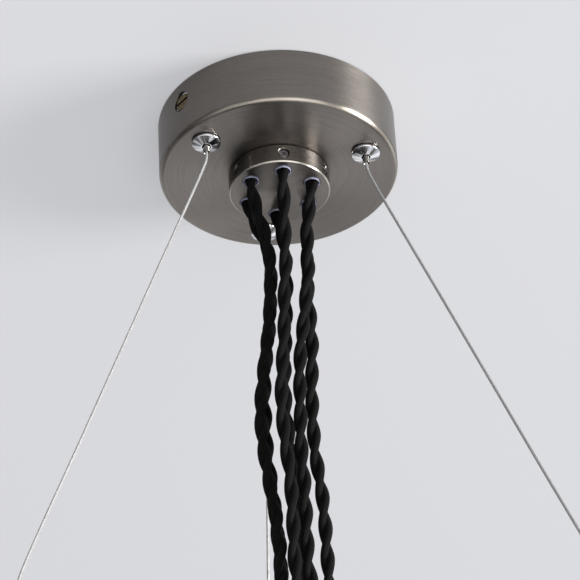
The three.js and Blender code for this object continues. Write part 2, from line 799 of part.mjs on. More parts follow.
// Lampholder: capped shell with a ribbed skirt, open below for the lamp
function lampholder() {
  const neck = holderNeckDiameter / 2;
  const outer = holderDiameter / 2;
  const bore = outer - holderWall;
  const capFoot = -holderNeckLength - holderShoulder;
  const rib = capFoot - holderRibDrop;
  return revolve([
    [0, -holderNeckLength],
    [cordRadius + seatGap, -holderNeckLength],
    [cordRadius + seatGap, 0],
    [neck, 0],
    [neck, -holderNeckLength],
    [(neck + outer) / 2, -holderNeckLength - holderShoulder / 4],
    [outer, capFoot],
    [outer, rib],
    [outer - holderRibDepth, rib],
    [outer - holderRibDepth, rib - holderRibHeight],
    [outer, rib - holderRibHeight],
    [outer, -holderLength],
    [bore, -holderLength],
    [bore, -holderLength + holderSocketDepth],
    [0, -holderLength + holderSocketDepth],
  ].reverse(), holeSides);
}

// Routes of the six cords in millimetres, from inside the canopy to their lampholders.
// Cord 1 is on the -Y side, and the others follow towards +X.
const cordRoutes = {
  1: [
    [1.78, -14.49, -20.3], [1.78, -14.49, -37], [1.6, -12.6, -47], [1.2, -8.6, -61], [0.9, -7.4, -77],
    [-0.3, -7.2, -91], [-0.9, -7.2, -104], [-1.6, -7.2, -116], [-2.9, -7.3, -130], [-3.8, -7.5, -146],
    [-3.2, -7.6, -163], [-1.9, -7.7, -181], [-1.8, -7.8, -200], [-1.8, -8.4, -222], [0.4, -12.5, -245],
    [1.8, -20, -264], [3.1, -26.3, -281], [3.41, -27.79, -295], [3.41, -27.79, -304.7],
  ],
  2: [
    [13.44, -5.7, -20.3], [13.44, -5.7, -37], [11.8, -4.9, -48], [10.3, -3.8, -63], [10, -3.4, -78],
    [8.4, -3.2, -91], [6.8, -3, -104], [5.1, -2.9, -116], [4, -2.8, -130], [3.5, -2.7, -146],
    [3, -2.5, -163], [3.4, -2.4, -181], [3.3, -2.3, -200], [3.6, -2.2, -222], [8.5, -3.7, -245],
    [16, -6.8, -264], [24, -10.2, -281], [25.77, -10.94, -295], [25.77, -10.94, -304.7],
  ],
  3: [
    [11.66, 8.79, -20.3], [11.66, 8.79, -37], [10.5, 7.7, -48], [9.9, 5.9, -63], [9.4, 5.1, -78],
    [9.5, 4.7, -91], [9.8, 4.5, -104], [9.5, 4.3, -116], [8.6, 4.2, -130], [8.2, 4.1, -146],
    [8.4, 4, -163], [10, 3.9, -181], [10.6, 3.6, -200], [10.8, 3.4, -222], [12.6, 6, -245],
    [17, 11, -264], [21.3, 15.7, -281], [22.36, 16.85, -295], [22.36, 16.85, -304.7],
  ],
  4: [
    [-1.78, 14.49, -20.3], [-1.78, 14.49, -37], [0, 12.6, -48], [1.1, 9.6, -64], [0.8, 8.4, -78],
    [0, 8.2, -91], [-0.8, 7.6, -104], [-1.6, 6.2, -117], [-2.2, 4.8, -130], [-2, 3.9, -146],
    [-0.9, 3.7, -163], [0.3, 3.7, -181], [0.4, 4, -200], [0, 4.7, -222], [-0.5, 9.2, -245],
    [-1.7, 18, -264], [-3, 26, -281], [-3.41, 27.79, -295], [-3.41, 27.79, -304.7],
  ],
  5: [
    [-13.44, 5.7, -20.3], [-13.44, 5.7, -37], [-10.5, 5.3, -48], [-6, 4.5, -63], [-5.5, 4.3, -78],
    [-6.4, 4.2, -91], [-7.5, 4.2, -104], [-9, 4.3, -116], [-10.3, 4.4, -130], [-10.6, 4.5, -146],
    [-10.4, 4.5, -163], [-9, 4.6, -181], [-8, 5, -200], [-7.7, 6, -222], [-11.6, 7.3, -245],
    [-18, 9, -264], [-24.2, 10.5, -281], [-25.77, 10.94, -295], [-25.77, 10.94, -304.7],
  ],
  6: [
    [-11.66, -8.79, -20.3], [-11.66, -8.79, -37], [-10, -7.4, -48], [-6.5, -4.4, -63], [-5.5, -3.4, -78],
    [-6.2, -3.2, -91], [-7.1, -3.2, -104], [-8.7, -3.2, -116], [-10.6, -3.2, -130], [-12.2, -3.2, -147],
    [-11.8, -3.2, -163], [-10, -3.4, -181], [-7.9, -3.6, -200], [-7.3, -4.2, -222], [-10.2, -7.2, -245],
    [-16.6, -12.4, -264], [-21.3, -15.9, -281], [-22.36, -16.85, -295], [-22.36, -16.85, -304.7],
  ],
};

// Pieces held in the bracket's own frame, which is turned about Z
const bracketGroup = new THREE.Group();
bracketGroup.rotation.z = bracketFrame;
model.add(bracketGroup);
addPiece('ceiling_bracket', ceilingBracket(), zincSteel, bracketGroup);
addPiece('terminal_block', terminalBlock(), whitePlastic, bracketGroup);
[1, 2].forEach((k) => {
  const screw = addPiece(`block_screw_${k}`, blockScrew(), zincSteel, bracketGroup);
  screw.position.x = blockScrewOffset * (2 * k - 3);
});
const earthPiece = addPiece('earth_screw', earthScrew(), agedBrass, bracketGroup);
earthPiece.position.x = earthScrewOffset;

addPiece('canopy_cup', canopyCup(), brushedNickel);
addPiece('cord_hub', cordHub(), brushedNickel);
addPiece('hub_screw', hubScrew(), zincSteel);
addPiece('hub_washer', hubWasher(), zincSteel);

// Earth lead from beside the bracket's earth screw down to the tab of the hub washer
function earthLead() {
  const tabTop = canopyFloor + seatGap + washerThickness;
  const start = polar(earthScrewOffset + earthScrewHeadDiameter, bracketTurn, -bracketThickness - seatGap);
  const end = polar(washerTabReach - washerTabWidth / 4, washerTabTurn, tabTop + seatGap);
  const first = start.clone().setZ(start.z - leadDiameter / 2);
  const second = first.clone().setZ(first.z - leadRise);
  const rising = end.clone().setZ(end.z + leadRise);
  const turned = THREE.MathUtils.lerp(bracketTurn, washerTabTurn, earthLeadTurnShare);
  const beside = polar(blockLength / 2 + earthLeadStandOff, turned, (blockTop + blockFoot) / 2);
  const lower = start.clone().lerp(end, earthLeadFallShare).setZ(rising.z + leadRise);
  return tube([first, second, beside, lower, rising, end], leadDiameter / 2, leadSides, 2);
}
addPiece('earth_lead', earthLead(), { color: 0x4f8f3a, roughness: 0.5, metalness: 0 });

cordNumbers.forEach((k) => {
  const place = polar(cordPitchRadius, cordAngle(k));
  const sleeve = addPiece(`cord_sleeve_${k}`, cordSleeve(), clearPlastic);
  sleeve.position.copy(place);
  sleeve.rotation.z = cordAngle(k) * degree;
  const grub = addPiece(`grub_screw_${k}`, pointOutward(grubScrew(), 0), polishedChrome);
  grub.position.copy(polar(grubInner, cordAngle(k), (hubFace + canopyFace) / 2));
  grub.rotation.z = cordAngle(k) * degree;
  addPiece(`cord_${k}`, pendantCord(k), blackFabric);
  const holder = addPiece(`lampholder_${k}`, lampholder(), blackPlastic);
  holder.position.copy(polar(holderPitchRadius, cordAngle(k), -cordEndDrop + holderNeckLength));
});

[1, 2].forEach((k) => {
  const headSeat = canopyRadius + sideScrewProud - sideScrewHeadHeight;
  const screw = addPiece(`side_screw_${k}`, pointOutward(sideScrew(), 0), agedBrass);
  screw.position.copy(polar(headSeat, sideScrewAngle(k), -sideScrewDrop));
  screw.rotation.z = sideScrewAngle(k) * degree;
});

gripperNumbers.forEach((k) => {
  const group = new THREE.Group();
  group.position.copy(polar(gripperPitchRadius, gripperAngle(k), canopyFace));
  group.rotation.z = (gripperAngle(k) - 90) * degree;
  model.add(group);
  addPiece(`gripper_body_${k}`, gripperBody(), polishedChrome, group);
  addPiece(`gripper_nut_${k}`, gripperNut(), zincSteel, group);
  addPiece(`gripper_plunger_${k}`, gripperPlunger(), polishedChrome, group);
  addPiece(`gripper_spring_${k}`, tube(springPoints(), springWireDiameter / 2, 5), zincSteel, group);
  const swung = new THREE.Group();
  swung.rotation.z = wireSwings[k - 1] * degree;
  group.add(swung);
  addPiece(`suspension_wire_${k}`, tube(wirePoints(k), wireRadius, cordSides), polishedChrome, swung);
  const ferrule = addPiece(`wire_ferrule_${k}`, wireFerrule(), zincSteel, swung);
  const lean = wireLeans[k - 1] * degree;
  const middle = wireFreeLength + ferruleLength / 2;
  const bendOut = (wireBendDrop * Math.tan(lean)) / 2;
  const bendEnd = plungerFoot - wireBendStart - wireBendDrop;
  ferrule.position.set(bendOut + middle * Math.sin(lean), 0, bendEnd - middle * Math.cos(lean));
  ferrule.rotation.y = -lean;
});

console.log(`spring: least gap to itself ${leastSpringGap().toFixed(2)} mm`);

export default model;
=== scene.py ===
import math
import bmesh
import bpy
import numpy as np
from mathutils import Matrix, Vector


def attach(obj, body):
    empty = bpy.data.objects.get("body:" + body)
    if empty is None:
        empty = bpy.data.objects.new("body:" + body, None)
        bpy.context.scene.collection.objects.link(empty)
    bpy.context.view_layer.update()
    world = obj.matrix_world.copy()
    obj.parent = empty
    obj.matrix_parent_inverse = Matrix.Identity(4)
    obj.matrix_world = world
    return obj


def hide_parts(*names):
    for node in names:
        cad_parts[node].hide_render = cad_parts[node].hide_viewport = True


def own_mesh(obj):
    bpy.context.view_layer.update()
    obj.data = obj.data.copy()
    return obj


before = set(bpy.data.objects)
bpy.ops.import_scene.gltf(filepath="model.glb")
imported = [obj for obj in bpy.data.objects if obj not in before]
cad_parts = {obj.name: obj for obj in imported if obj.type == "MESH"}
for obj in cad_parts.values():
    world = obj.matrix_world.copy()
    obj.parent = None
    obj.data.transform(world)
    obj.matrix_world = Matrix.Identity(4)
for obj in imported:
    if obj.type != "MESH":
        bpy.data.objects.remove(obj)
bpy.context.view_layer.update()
scene = bpy.context.scene
scene.view_settings.view_transform = "Standard"


def newObject(name, data):
    made = bpy.data.objects.new(name, data)
    scene.collection.objects.link(made)
    return made


# Camera, fitted to the outlines of the canopy and the hub in the photograph
cameraSetup = {"place": (0.0, -0.98917, -0.80256), "turn": 0.002, "pitch": 0.627, "roll": -0.056,
               "lens": 186.2, "sensor": 36, "near": 0.05, "far": 30}


def makeCamera(setup):
    turn, pitch, roll = setup["turn"], setup["pitch"], setup["roll"]
    forward = Vector((math.sin(turn) * math.cos(pitch), math.cos(turn) * math.cos(pitch), math.sin(pitch)))
    right = Vector((math.cos(turn), -math.sin(turn), 0))
    up = right.cross(forward)
    sideways = right * math.cos(roll) + up * math.sin(roll)
    upright = up * math.cos(roll) - right * math.sin(roll)
    data = bpy.data.cameras.new("photoCamera")
    data.lens, data.sensor_width = setup["lens"], setup["sensor"]
    data.clip_start, data.clip_end = setup["near"], setup["far"]
    camera = newObject("photoCamera", data)
    axes = Matrix((sideways, upright, -forward)).transposed().to_4x4()
    camera.matrix_world = Matrix.Translation(setup["place"]) @ axes
    scene.camera = camera


makeCamera(cameraSetup)
print("camera set")


# Small helpers for node trees
def linkNode(tree, value, socket):
    if isinstance(value, bpy.types.NodeSocket):
        tree.links.new(value, socket)
    else:
        socket.default_value = value


def setInputs(tree, node, inputs):
    for label, value in inputs.items():
        linkNode(tree, value, node.inputs[label])


# A node with its settings, and its inputs linked or set by number or name
def addNode(tree, kind, inputs=None, **settings):
    node = tree.nodes.new(kind)
    for label, value in settings.items():
        setattr(node, label, value)
    setInputs(tree, node, inputs or {})
    return node.outputs


def mathNode(tree, operation, *values):
    return addNode(tree, "ShaderNodeMath", dict(enumerate(values)), operation=operation)[0]


def product(tree, first, second):
    return mathNode(tree, "MULTIPLY", first, second)


def vectorNode(tree, operation, *values):
    outputs = addNode(tree, "ShaderNodeVectorMath", dict(enumerate(values)), operation=operation)
    return outputs["Value" if operation == "LENGTH" else "Vector"]


def scaledVector(tree, vector, amount):
    return addNode(tree, "ShaderNodeVectorMath", {0: vector, "Scale": amount}, operation="SCALE")["Vector"]


def splitVector(tree, vector):
    return addNode(tree, "ShaderNodeSeparateXYZ", {0: vector})


def joinedVector(tree, *values):
    return addNode(tree, "ShaderNodeCombineXYZ", dict(enumerate(values)))[0]


def rangeNode(tree, value, fromLow, fromHigh, toLow, toHigh):
    return addNode(tree, "ShaderNodeMapRange", dict(enumerate((value, fromLow, fromHigh, toLow, toHigh))))[0]


def mixColour(tree, share, first, second):
    return addNode(tree, "ShaderNodeMix", {0: share, 6: first, 7: second}, data_type="RGBA")[2]


def noiseNode(tree, place, scale, detail=2.0, roughness=0.5, depth=None):
    inputs = {"Vector": place, "Scale": scale, "Detail": detail, "Roughness": roughness}
    if depth is None:
        return addNode(tree, "ShaderNodeTexNoise", inputs)["Fac"]
    return addNode(tree, "ShaderNodeTexNoise", {**inputs, "W": depth}, noise_dimensions="4D")["Fac"]


def bumpNode(tree, height, strength, distance):
    return addNode(tree, "ShaderNodeBump", {"Height": height, "Strength": strength, "Distance": distance})[0]


def placeGroup(tree, group, inputs):
    return addNode(tree, "ShaderNodeGroup", inputs, node_tree=group)


# A node group; an input is a name, a kind and mostly a value, an output a name and a kind
def newGroup(name, kind, inputs, outputs):
    tree = bpy.data.node_groups.new(name, kind)
    for label, socket, *value in inputs:
        made = tree.interface.new_socket(name=label, in_out="INPUT", socket_type="NodeSocket" + socket)
        if value:
            made.default_value = value[0]
    for label, socket in outputs:
        tree.interface.new_socket(name=label, in_out="OUTPUT", socket_type="NodeSocket" + socket)
    return tree, tree.nodes.new("NodeGroupInput").outputs, tree.nodes.new("NodeGroupOutput").inputs


# Fine lines that run round the Z axis, as a lathe or a brush leaves them
def turnedLinesGroup():
    tree, given, result = newGroup(
        "turnedLines", "ShaderNodeTree",
        [("Place", "Vector"), ("Lines per metre", "Float", 9000.0), ("Drag", "Float", 6.0)],
        [("Lines", "Float"), ("Bands", "Float")])
    flat = vectorNode(tree, "MULTIPLY", given["Place"], (1.0, 1.0, 0.0))
    around = splitVector(tree, scaledVector(tree, vectorNode(tree, "NORMALIZE", flat), given["Drag"]))
    height = product(tree, splitVector(tree, given["Place"])[2], given["Lines per metre"])
    place = joinedVector(tree, around[0], around[1], height)
    depth = product(tree, vectorNode(tree, "LENGTH", flat), given["Lines per metre"])
    bandDepth = product(tree, depth, 0.6)
    tree.links.new(noiseNode(tree, place, 1.0, 4.0, 0.62, depth), result["Lines"])
    tree.links.new(noiseNode(tree, place, 0.22, 1.0, 0.5, bandDepth), result["Bands"])
    return tree


# Soft patches of handling and dust
def patchesGroup():
    tree, given, result = newGroup(
        "patches", "ShaderNodeTree",
        [("Place", "Vector"), ("Size", "Float", 60.0), ("Low", "Float", 0.35), ("High", "Float", 0.7)],
        [("Mask", "Float"), ("Specks", "Float")])
    soft = noiseNode(tree, given["Place"], given["Size"], 4.0, 0.55)
    tree.links.new(rangeNode(tree, soft, given["Low"], given["High"], 0.0, 1.0), result["Mask"])
    fine = noiseNode(tree, given["Place"], product(tree, given["Size"], 45.0), 1.0, 0.5)
    tree.links.new(rangeNode(tree, fine, 0.68, 0.78, 0.0, 1.0), result["Specks"])
    return tree


# Plaits of a braided sleeve, from the direction round a strand and the length along it
def braidGroup():
    tree, given, result = newGroup(
        "braid", "ShaderNodeTree",
        [("Strand place", "Vector"), ("Plaits round", "Float", 8.0), ("Plait length", "Float", 0.0018)],
        [("Height", "Float"), ("Yarn", "Float")])
    parts = splitVector(tree, given["Strand place"])
    angle = mathNode(tree, "ARCTAN2", parts[1], parts[0])
    around = product(tree, mathNode(tree, "DIVIDE", angle, 2.0), given["Plaits round"])
    along = product(tree, mathNode(tree, "DIVIDE", parts[2], given["Plait length"]), math.pi)
    rising = mathNode(tree, "ADD", around, along)
    falling = mathNode(tree, "SUBTRACT", around, along)
    over = product(tree, mathNode(tree, "SINE", rising), mathNode(tree, "SINE", falling))
    side = rangeNode(tree, over, -0.12, 0.12, 0.0, 1.0)
    otherSide = mathNode(tree, "SUBTRACT", 1.0, side)

    def onTop(first, second):
        return mathNode(tree, "ADD", product(tree, first, side), product(tree, second, otherSide))

    ridges = [mathNode(tree, "ABSOLUTE", mathNode(tree, "COSINE", way)) for way in (rising, falling)]
    yarns = mathNode(tree, "SINE", product(tree, onTop(rising, falling), 4.0))
    tree.links.new(onTop(*ridges), result["Height"])
    tree.links.new(mathNode(tree, "ABSOLUTE", yarns), result["Yarn"])
    return tree


# Band round a turned edge, by the distance from the edge's circle: partly burnished wear, partly a painted
# highlight line
def edgeWearAndHighlightGroup():
    tree, given, result = newGroup(
        "edgeWearAndHighlight", "ShaderNodeTree",
        [("Place", "Vector"), ("Radius", "Float", 0.05), ("Height", "Float", 0.0),
         ("Width", "Float", 0.001)],
        [("Mask", "Float")])
    reach = vectorNode(tree, "LENGTH", vectorNode(tree, "MULTIPLY", given["Place"], (1.0, 1.0, 0.0)))
    outward = mathNode(tree, "SUBTRACT", reach, given["Radius"])
    upward = mathNode(tree, "SUBTRACT", splitVector(tree, given["Place"])[2], given["Height"])
    away = vectorNode(tree, "LENGTH", joinedVector(tree, outward, upward))
    ragged = product(tree, noiseNode(tree, given["Place"], 500.0), 0.5)
    limit = product(tree, given["Width"], mathNode(tree, "ADD", ragged, 0.75))
    full = product(tree, limit, 0.4)
    tree.links.new(rangeNode(tree, away, full, limit, 1.0, 0.0), result["Mask"])
    return tree


turnedLines = turnedLinesGroup()
edgeWearAndHighlight = edgeWearAndHighlightGroup()
patches = patchesGroup()
braid = braidGroup()


def newMaterial(name):
    material = bpy.data.materials.new(name)
    material.use_nodes = True
    tree = material.node_tree
    return material, tree, tree.nodes["Principled BSDF"], addNode(tree, "ShaderNodeTexCoord")["Object"]


brushSetup = {"linesPerMetre": 11000.0, "drag": 7.0, "rough": 0.29, "anisotropy": 0.8, "patchSize": 38.0,
              "lineShare": 0.7, "bandShare": 0.3, "dullShare": 0.12}
bumpDepths = {"brushed": 0.00003, "plain": 0.00005, "plastic": 0.0001, "braid": 0.0002}  # metres


# Brushed metal with lines round the piece's own axis
def brushedMetal(name, setup, dark, light, wornHighlight, edge):
    material, tree, shader, place = newMaterial(name)
    turned = placeGroup(tree, turnedLines, {"Place": place, "Lines per metre": setup["linesPerMetre"],
                                            "Drag": setup["drag"]})
    soft = placeGroup(tree, patches, {"Place": place, "Size": setup["patchSize"]})
    wearAndHighlight = placeGroup(tree, edgeWearAndHighlight, {"Place": place, "Radius": edge["radius"], "Height": edge["height"],
                                       "Width": edge["width"]})
    tone = mathNode(tree, "ADD", product(tree, turned["Lines"], setup["lineShare"]),
                    product(tree, turned["Bands"], setup["bandShare"]))
    colour = mixColour(tree, rangeNode(tree, tone, 0.32, 0.68, 0.0, 1.0), (*dark, 1), (*light, 1))
    dulled = product(tree, soft["Mask"], setup["dullShare"])
    colour = mixColour(tree, dulled, colour, (*dark, 1))
    # The edge band is lightened: partly wear, partly a painted highlight along the edge
    colour = mixColour(tree, product(tree, wearAndHighlight["Mask"], edge["share"]), colour, (*wornHighlight, 1))
    rough = rangeNode(tree, turned["Lines"], 0.3, 0.7, setup["rough"] - 0.06, setup["rough"] + 0.08)
    setInputs(tree, shader, {
        "Base Color": colour, "Metallic": 1,
        "Roughness": mathNode(tree, "ADD", rough, product(tree, soft["Mask"], 0.05)),
        "Anisotropic": setup["anisotropy"], "Anisotropic Rotation": 0.25,
        "Tangent": addNode(tree, "ShaderNodeTangent", direction_type="RADIAL", axis="Z")[0],
        "Normal": bumpNode(tree, turned["Lines"], 0.09, bumpDepths["brushed"])})
    return material


def plainMetal(name, colour, dull, rough, patchSize=260.0, dullShare=0.3, metallic=1.0):
    material, tree, shader, place = newMaterial(name)
    soft = placeGroup(tree, patches, {"Place": place, "Size": patchSize})
    share = product(tree, soft["Mask"], dullShare)
    setInputs(tree, shader, {
        "Base Color": mixColour(tree, share, (*colour, 1), (*dull, 1)), "Metallic": metallic,
        "Roughness": rangeNode(tree, soft["Mask"], 0.0, 1.0, rough, rough + 0.14),
        "Normal": bumpNode(tree, noiseNode(tree, place, 2600.0), 0.05, bumpDepths["plain"])})
    return material


def mouldedPlastic(name, colour, specks, rough):
    material, tree, shader, place = newMaterial(name)
    soft = placeGroup(tree, patches, {"Place": place, "Size": 90.0})
    share = mathNode(tree, "ADD", product(tree, soft["Mask"], 0.35),
                     product(tree, soft["Specks"], 0.25))
    setInputs(tree, shader, {
        "Base Color": mixColour(tree, share, (*colour, 1), (*specks, 1)),
        "Roughness": rangeNode(tree, soft["Mask"], 0.0, 1.0, rough - 0.05, rough + 0.1),
        "Normal": bumpNode(tree, noiseNode(tree, place, 1800.0), 0.08, bumpDepths["plastic"])})
    return material


def clothSleeve(name, dark, light, dustColour):
    material, tree, shader, place = newMaterial(name)
    strandPlace = addNode(tree, "ShaderNodeAttribute", attribute_name="strandPlace")["Vector"]
    plaits = placeGroup(tree, braid, {"Strand place": strandPlace})
    dust = placeGroup(tree, patches, {"Place": place, "Size": 120.0, "Low": 0.4, "High": 0.8})
    yarns = mathNode(tree, "ADD", product(tree, plaits["Yarn"], 0.4), 0.6)
    # Crests of the plaits are lighter and the gaps near black: painted highlight on the ridges, painted
    # shade between them
    ridgeHighlight = product(tree, mathNode(tree, "POWER", plaits["Height"], 5.0), yarns)
    colour = mixColour(tree, ridgeHighlight, (*dark, 1), (*light, 1))
    dusty = product(tree, dust["Mask"], 0.12)
    height = mathNode(tree, "ADD", plaits["Height"], product(tree, plaits["Yarn"], 0.35))
    setInputs(tree, shader, {
        "Base Color": mixColour(tree, dusty, colour, (*dustColour, 1)),
        "Roughness": rangeNode(tree, plaits["Height"], 0.0, 1.0, 0.92, 0.68),
        "Specular IOR Level": 0.06, "Sheen Weight": 0.01, "Sheen Roughness": 0.4,
        "Normal": bumpNode(tree, height, 1.0, bumpDepths["braid"])})
    return material


def clearSleeve(name, colour, cloudy):
    material, tree, shader, place = newMaterial(name)
    soft = placeGroup(tree, patches, {"Place": place, "Size": 400.0})
    share = product(tree, soft["Mask"], 0.4)
    setInputs(tree, shader, {
        "Base Color": mixColour(tree, share, (*colour, 1), (*cloudy, 1)),
        "Roughness": rangeNode(tree, soft["Mask"], 0.0, 1.0, 0.28, 0.42),
        "Transmission Weight": 0.35, "IOR": 1.46,
        "Subsurface Weight": 0.25, "Subsurface Radius": (0.001, 0.001, 0.0012), "Subsurface Scale": 1,
        "Normal": bumpNode(tree, noiseNode(tree, place, 900.0), 0.1, bumpDepths["plastic"])})
    return material


materials = {
    # The edge colours are partly wear, partly painted highlight lines on the canopy's rim and the hub's
    # lower bevel
    "nickel": brushedMetal("brushedNickel", brushSetup, dark=(0.15, 0.136, 0.123),
                           light=(0.222, 0.203, 0.185), wornHighlight=(0.55, 0.5, 0.42),
                           edge={"radius": 0.04935, "height": -0.02585, "width": 0.0008, "share": 0.6}),
    "hubNickel": brushedMetal("hubNickel", brushSetup, dark=(0.144, 0.131, 0.119),
                              light=(0.212, 0.194, 0.178), wornHighlight=(0.72, 0.68, 0.6),
                              edge={"radius": 0.0209, "height": -0.0353, "width": 0.0005, "share": 0.7}),
    "chrome": plainMetal("polishedChrome", (0.78, 0.79, 0.81), (0.55, 0.56, 0.58), 0.07),
    "nozzle": plainMetal("nozzleSteel", (0.36, 0.345, 0.32), (0.17, 0.16, 0.14), 0.12, 500.0, 0.7),
    "grub": plainMetal("grubSteel", (0.34, 0.32, 0.35), (0.16, 0.15, 0.17), 0.26, 600.0, 0.7),
    "zinc": plainMetal("zincSteel", (0.55, 0.56, 0.58), (0.36, 0.37, 0.38), 0.3, 420.0, 0.6),
    "brass": plainMetal("agedBrass", (0.2, 0.15, 0.075), (0.05, 0.036, 0.02), 0.28, 700.0, 0.9),
    "wire": plainMetal("wireSteel", (0.42, 0.42, 0.42), (0.3, 0.3, 0.3), 0.5, 700.0, 0.6, 0.7),
    # The braid's light colour is a painted highlight on the plaits' ridges, its dark colour a painted shade
    # in the grooves
    "fabric": clothSleeve("blackBraid", dark=(0.0002, 0.0002, 0.0002), light=(0.0185, 0.0178, 0.0184),
                          dustColour=(0.01, 0.01, 0.011)),
    "blackPlastic": mouldedPlastic("blackPlastic", (0.014, 0.014, 0.015), (0.03, 0.03, 0.032), 0.42),
    "whitePlastic": mouldedPlastic("whiteNylon", (0.72, 0.71, 0.67), (0.62, 0.6, 0.55), 0.45),
    "clear": clearSleeve("clearSleeve", colour=(0.42, 0.44, 0.58), cloudy=(0.28, 0.3, 0.44)),
    "brownLead": mouldedPlastic("brownLead", (0.12, 0.045, 0.02), (0.09, 0.035, 0.018), 0.38),
    "blueLead": mouldedPlastic("blueLead", (0.03, 0.12, 0.42), (0.025, 0.1, 0.35), 0.38),
    "greenLead": mouldedPlastic("greenLead", (0.12, 0.32, 0.06), (0.1, 0.27, 0.05), 0.4),
}
print("materials made")


# The stage: a pale ceiling, seen through from above, and a room that is bright and dark in patches
# The ceiling's glow as mirrored in the metal is painted darker left of the canopy: a painted shadow
ceilingSetup = {"size": 6.0, "height": 0.0004, "colour": (0.305, 0.309, 0.32), "patch": (0.285, 0.289, 0.3),
                "glow": (0.35, 0.352, 0.366), "paintedShadeReach": (-0.09, 0.02), "paintedShadeGlow": (0.6, 1.05)}
roomSetup = {"dark": (0.11, 0.106, 0.102), "bright": (1.15, 1.16, 1.2), "patches": 1.7, "turn": 3.0,
             "leftShade": 0.12, "leftReach": (-0.85, -0.35), "backdrop": (0.66, 0.665, 0.68)}


def makeCeiling(setup):
    half, height = setup["size"] / 2, setup["height"]
    corners = [(-half, -half, height), (-half, half, height), (half, half, height), (half, -half, height)]
    mesh = bpy.data.meshes.new("ceiling")
    mesh.from_pydata(corners, [], [(0, 1, 2, 3)])
    ceiling = newObject("ceiling", mesh)
    material, tree, shader, place = newMaterial("ceilingPaint")
    soft = placeGroup(tree, patches, {"Place": place, "Size": 2.0})
    share = product(tree, soft["Mask"], 0.1)
    rays = addNode(tree, "ShaderNodeLightPath")
    across = splitVector(tree, place)[0]
    # As the metal mirrors it, the ceiling's glow fades towards the left of the canopy: a painted shadow of
    # the canopy
    shade = rangeNode(tree, across, *setup["paintedShadeReach"], *setup["paintedShadeGlow"])
    mirrored = product(tree, rays["Is Glossy Ray"], shade)
    seen = mathNode(tree, "MAXIMUM", rays["Is Camera Ray"], mirrored)
    setInputs(tree, shader, {
        "Base Color": mixColour(tree, share, (*setup["colour"], 1), (*setup["patch"], 1)),
        "Emission Strength": mathNode(tree, "MAXIMUM", seen, rays["Is Transmission Ray"]),
        "Emission Color": (*setup["glow"], 1), "Roughness": 0.95, "Specular IOR Level": 0.1})
    fromAbove = addNode(tree, "ShaderNodeNewGeometry")["Backfacing"]
    clear = addNode(tree, "ShaderNodeBsdfTransparent")[0]
    mixed = addNode(tree, "ShaderNodeMixShader", {0: fromAbove, 1: shader.outputs[0], 2: clear})[0]
    tree.links.new(mixed, tree.nodes["Material Output"].inputs["Surface"])
    mesh.materials.append(material)


def makeRoom(setup):
    world = bpy.data.worlds.new("room")
    scene.world = world
    world.use_nodes = True
    tree = world.node_tree
    place = addNode(tree, "ShaderNodeTexCoord")["Generated"]
    soft = noiseNode(tree, place, setup["patches"], 1.0, 0.5, setup["turn"])
    share = rangeNode(tree, soft, 0.4, 0.6, 0.0, 1.0)
    sky = mixColour(tree, share, (*setup["dark"], 1), (*setup["bright"], 1))
    leftward = rangeNode(tree, splitVector(tree, place)[0], *setup["leftReach"], setup["leftShade"], 1.0)
    seen = addNode(tree, "ShaderNodeLightPath")["Is Camera Ray"]
    setInputs(tree, tree.nodes["Background"], {
        "Color": mixColour(tree, seen, sky, (*setup["backdrop"], 1)),
        "Strength": mathNode(tree, "MAXIMUM", leftward, seen)})


lampSetup = [
    {"name": "keyLamp", "place": (3.6, -0.72, -0.75), "target": (0, 0, -0.03), "size": 1.5, "power": 335,
     "colour": (1.0, 0.985, 0.965)},
    {"name": "frontLamp", "place": (0.5, -2.1, -1.9), "target": (0, 0, -0.05), "size": 3.0, "power": 36,
     "colour": (1.0, 0.99, 0.975)},
]


def makeLamp(setup):
    data = bpy.data.lights.new(setup["name"], "AREA")
    data.energy, data.size, data.color = setup["power"], setup["size"], setup["colour"]
    lamp = newObject(setup["name"], data)
    lamp.location = setup["place"]
    aim = Vector(setup["target"]) - Vector(setup["place"])
    lamp.rotation_euler = aim.to_track_quat("-Z", "Y").to_euler()


makeCeiling(ceilingSetup)
makeRoom(roomSetup)
for setup in lampSetup:
    makeLamp(setup)
print("stage made")


# Meshes; a profile and its sizes are in millimetres, a point and a place of a mesh in metres
def polar(radius, angle, height=0.0):
    turn = math.radians(angle)
    return np.array((radius * math.sin(turn), -radius * math.cos(turn), height))


def addObject(name, mesh, material, nodes=(), body="canopy_assembly", sharp=32):
    if not mesh.materials:  # a grown mesh has its material already
        mesh.materials.append(materials[material])
    mesh.polygons.foreach_set("use_smooth", [True] * len(mesh.polygons))
    mesh.set_sharp_from_angle(angle=math.radians(sharp))
    piece = newObject(name, mesh)
    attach(piece, body)
    if nodes:
        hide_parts(*nodes)
    return piece


def meshFrom(name, points, faces):
    mesh = bpy.data.meshes.new(name)
    mesh.from_pydata(np.asarray(points).tolist(), [], [list(face) for face in faces])
    mesh.validate()
    made = bmesh.new()
    made.from_mesh(mesh)
    bmesh.ops.remove_doubles(made, verts=made.verts, dist=1e-7)
    bmesh.ops.recalc_face_normals(made, faces=made.faces)
    made.to_mesh(mesh)
    made.free()
    return mesh


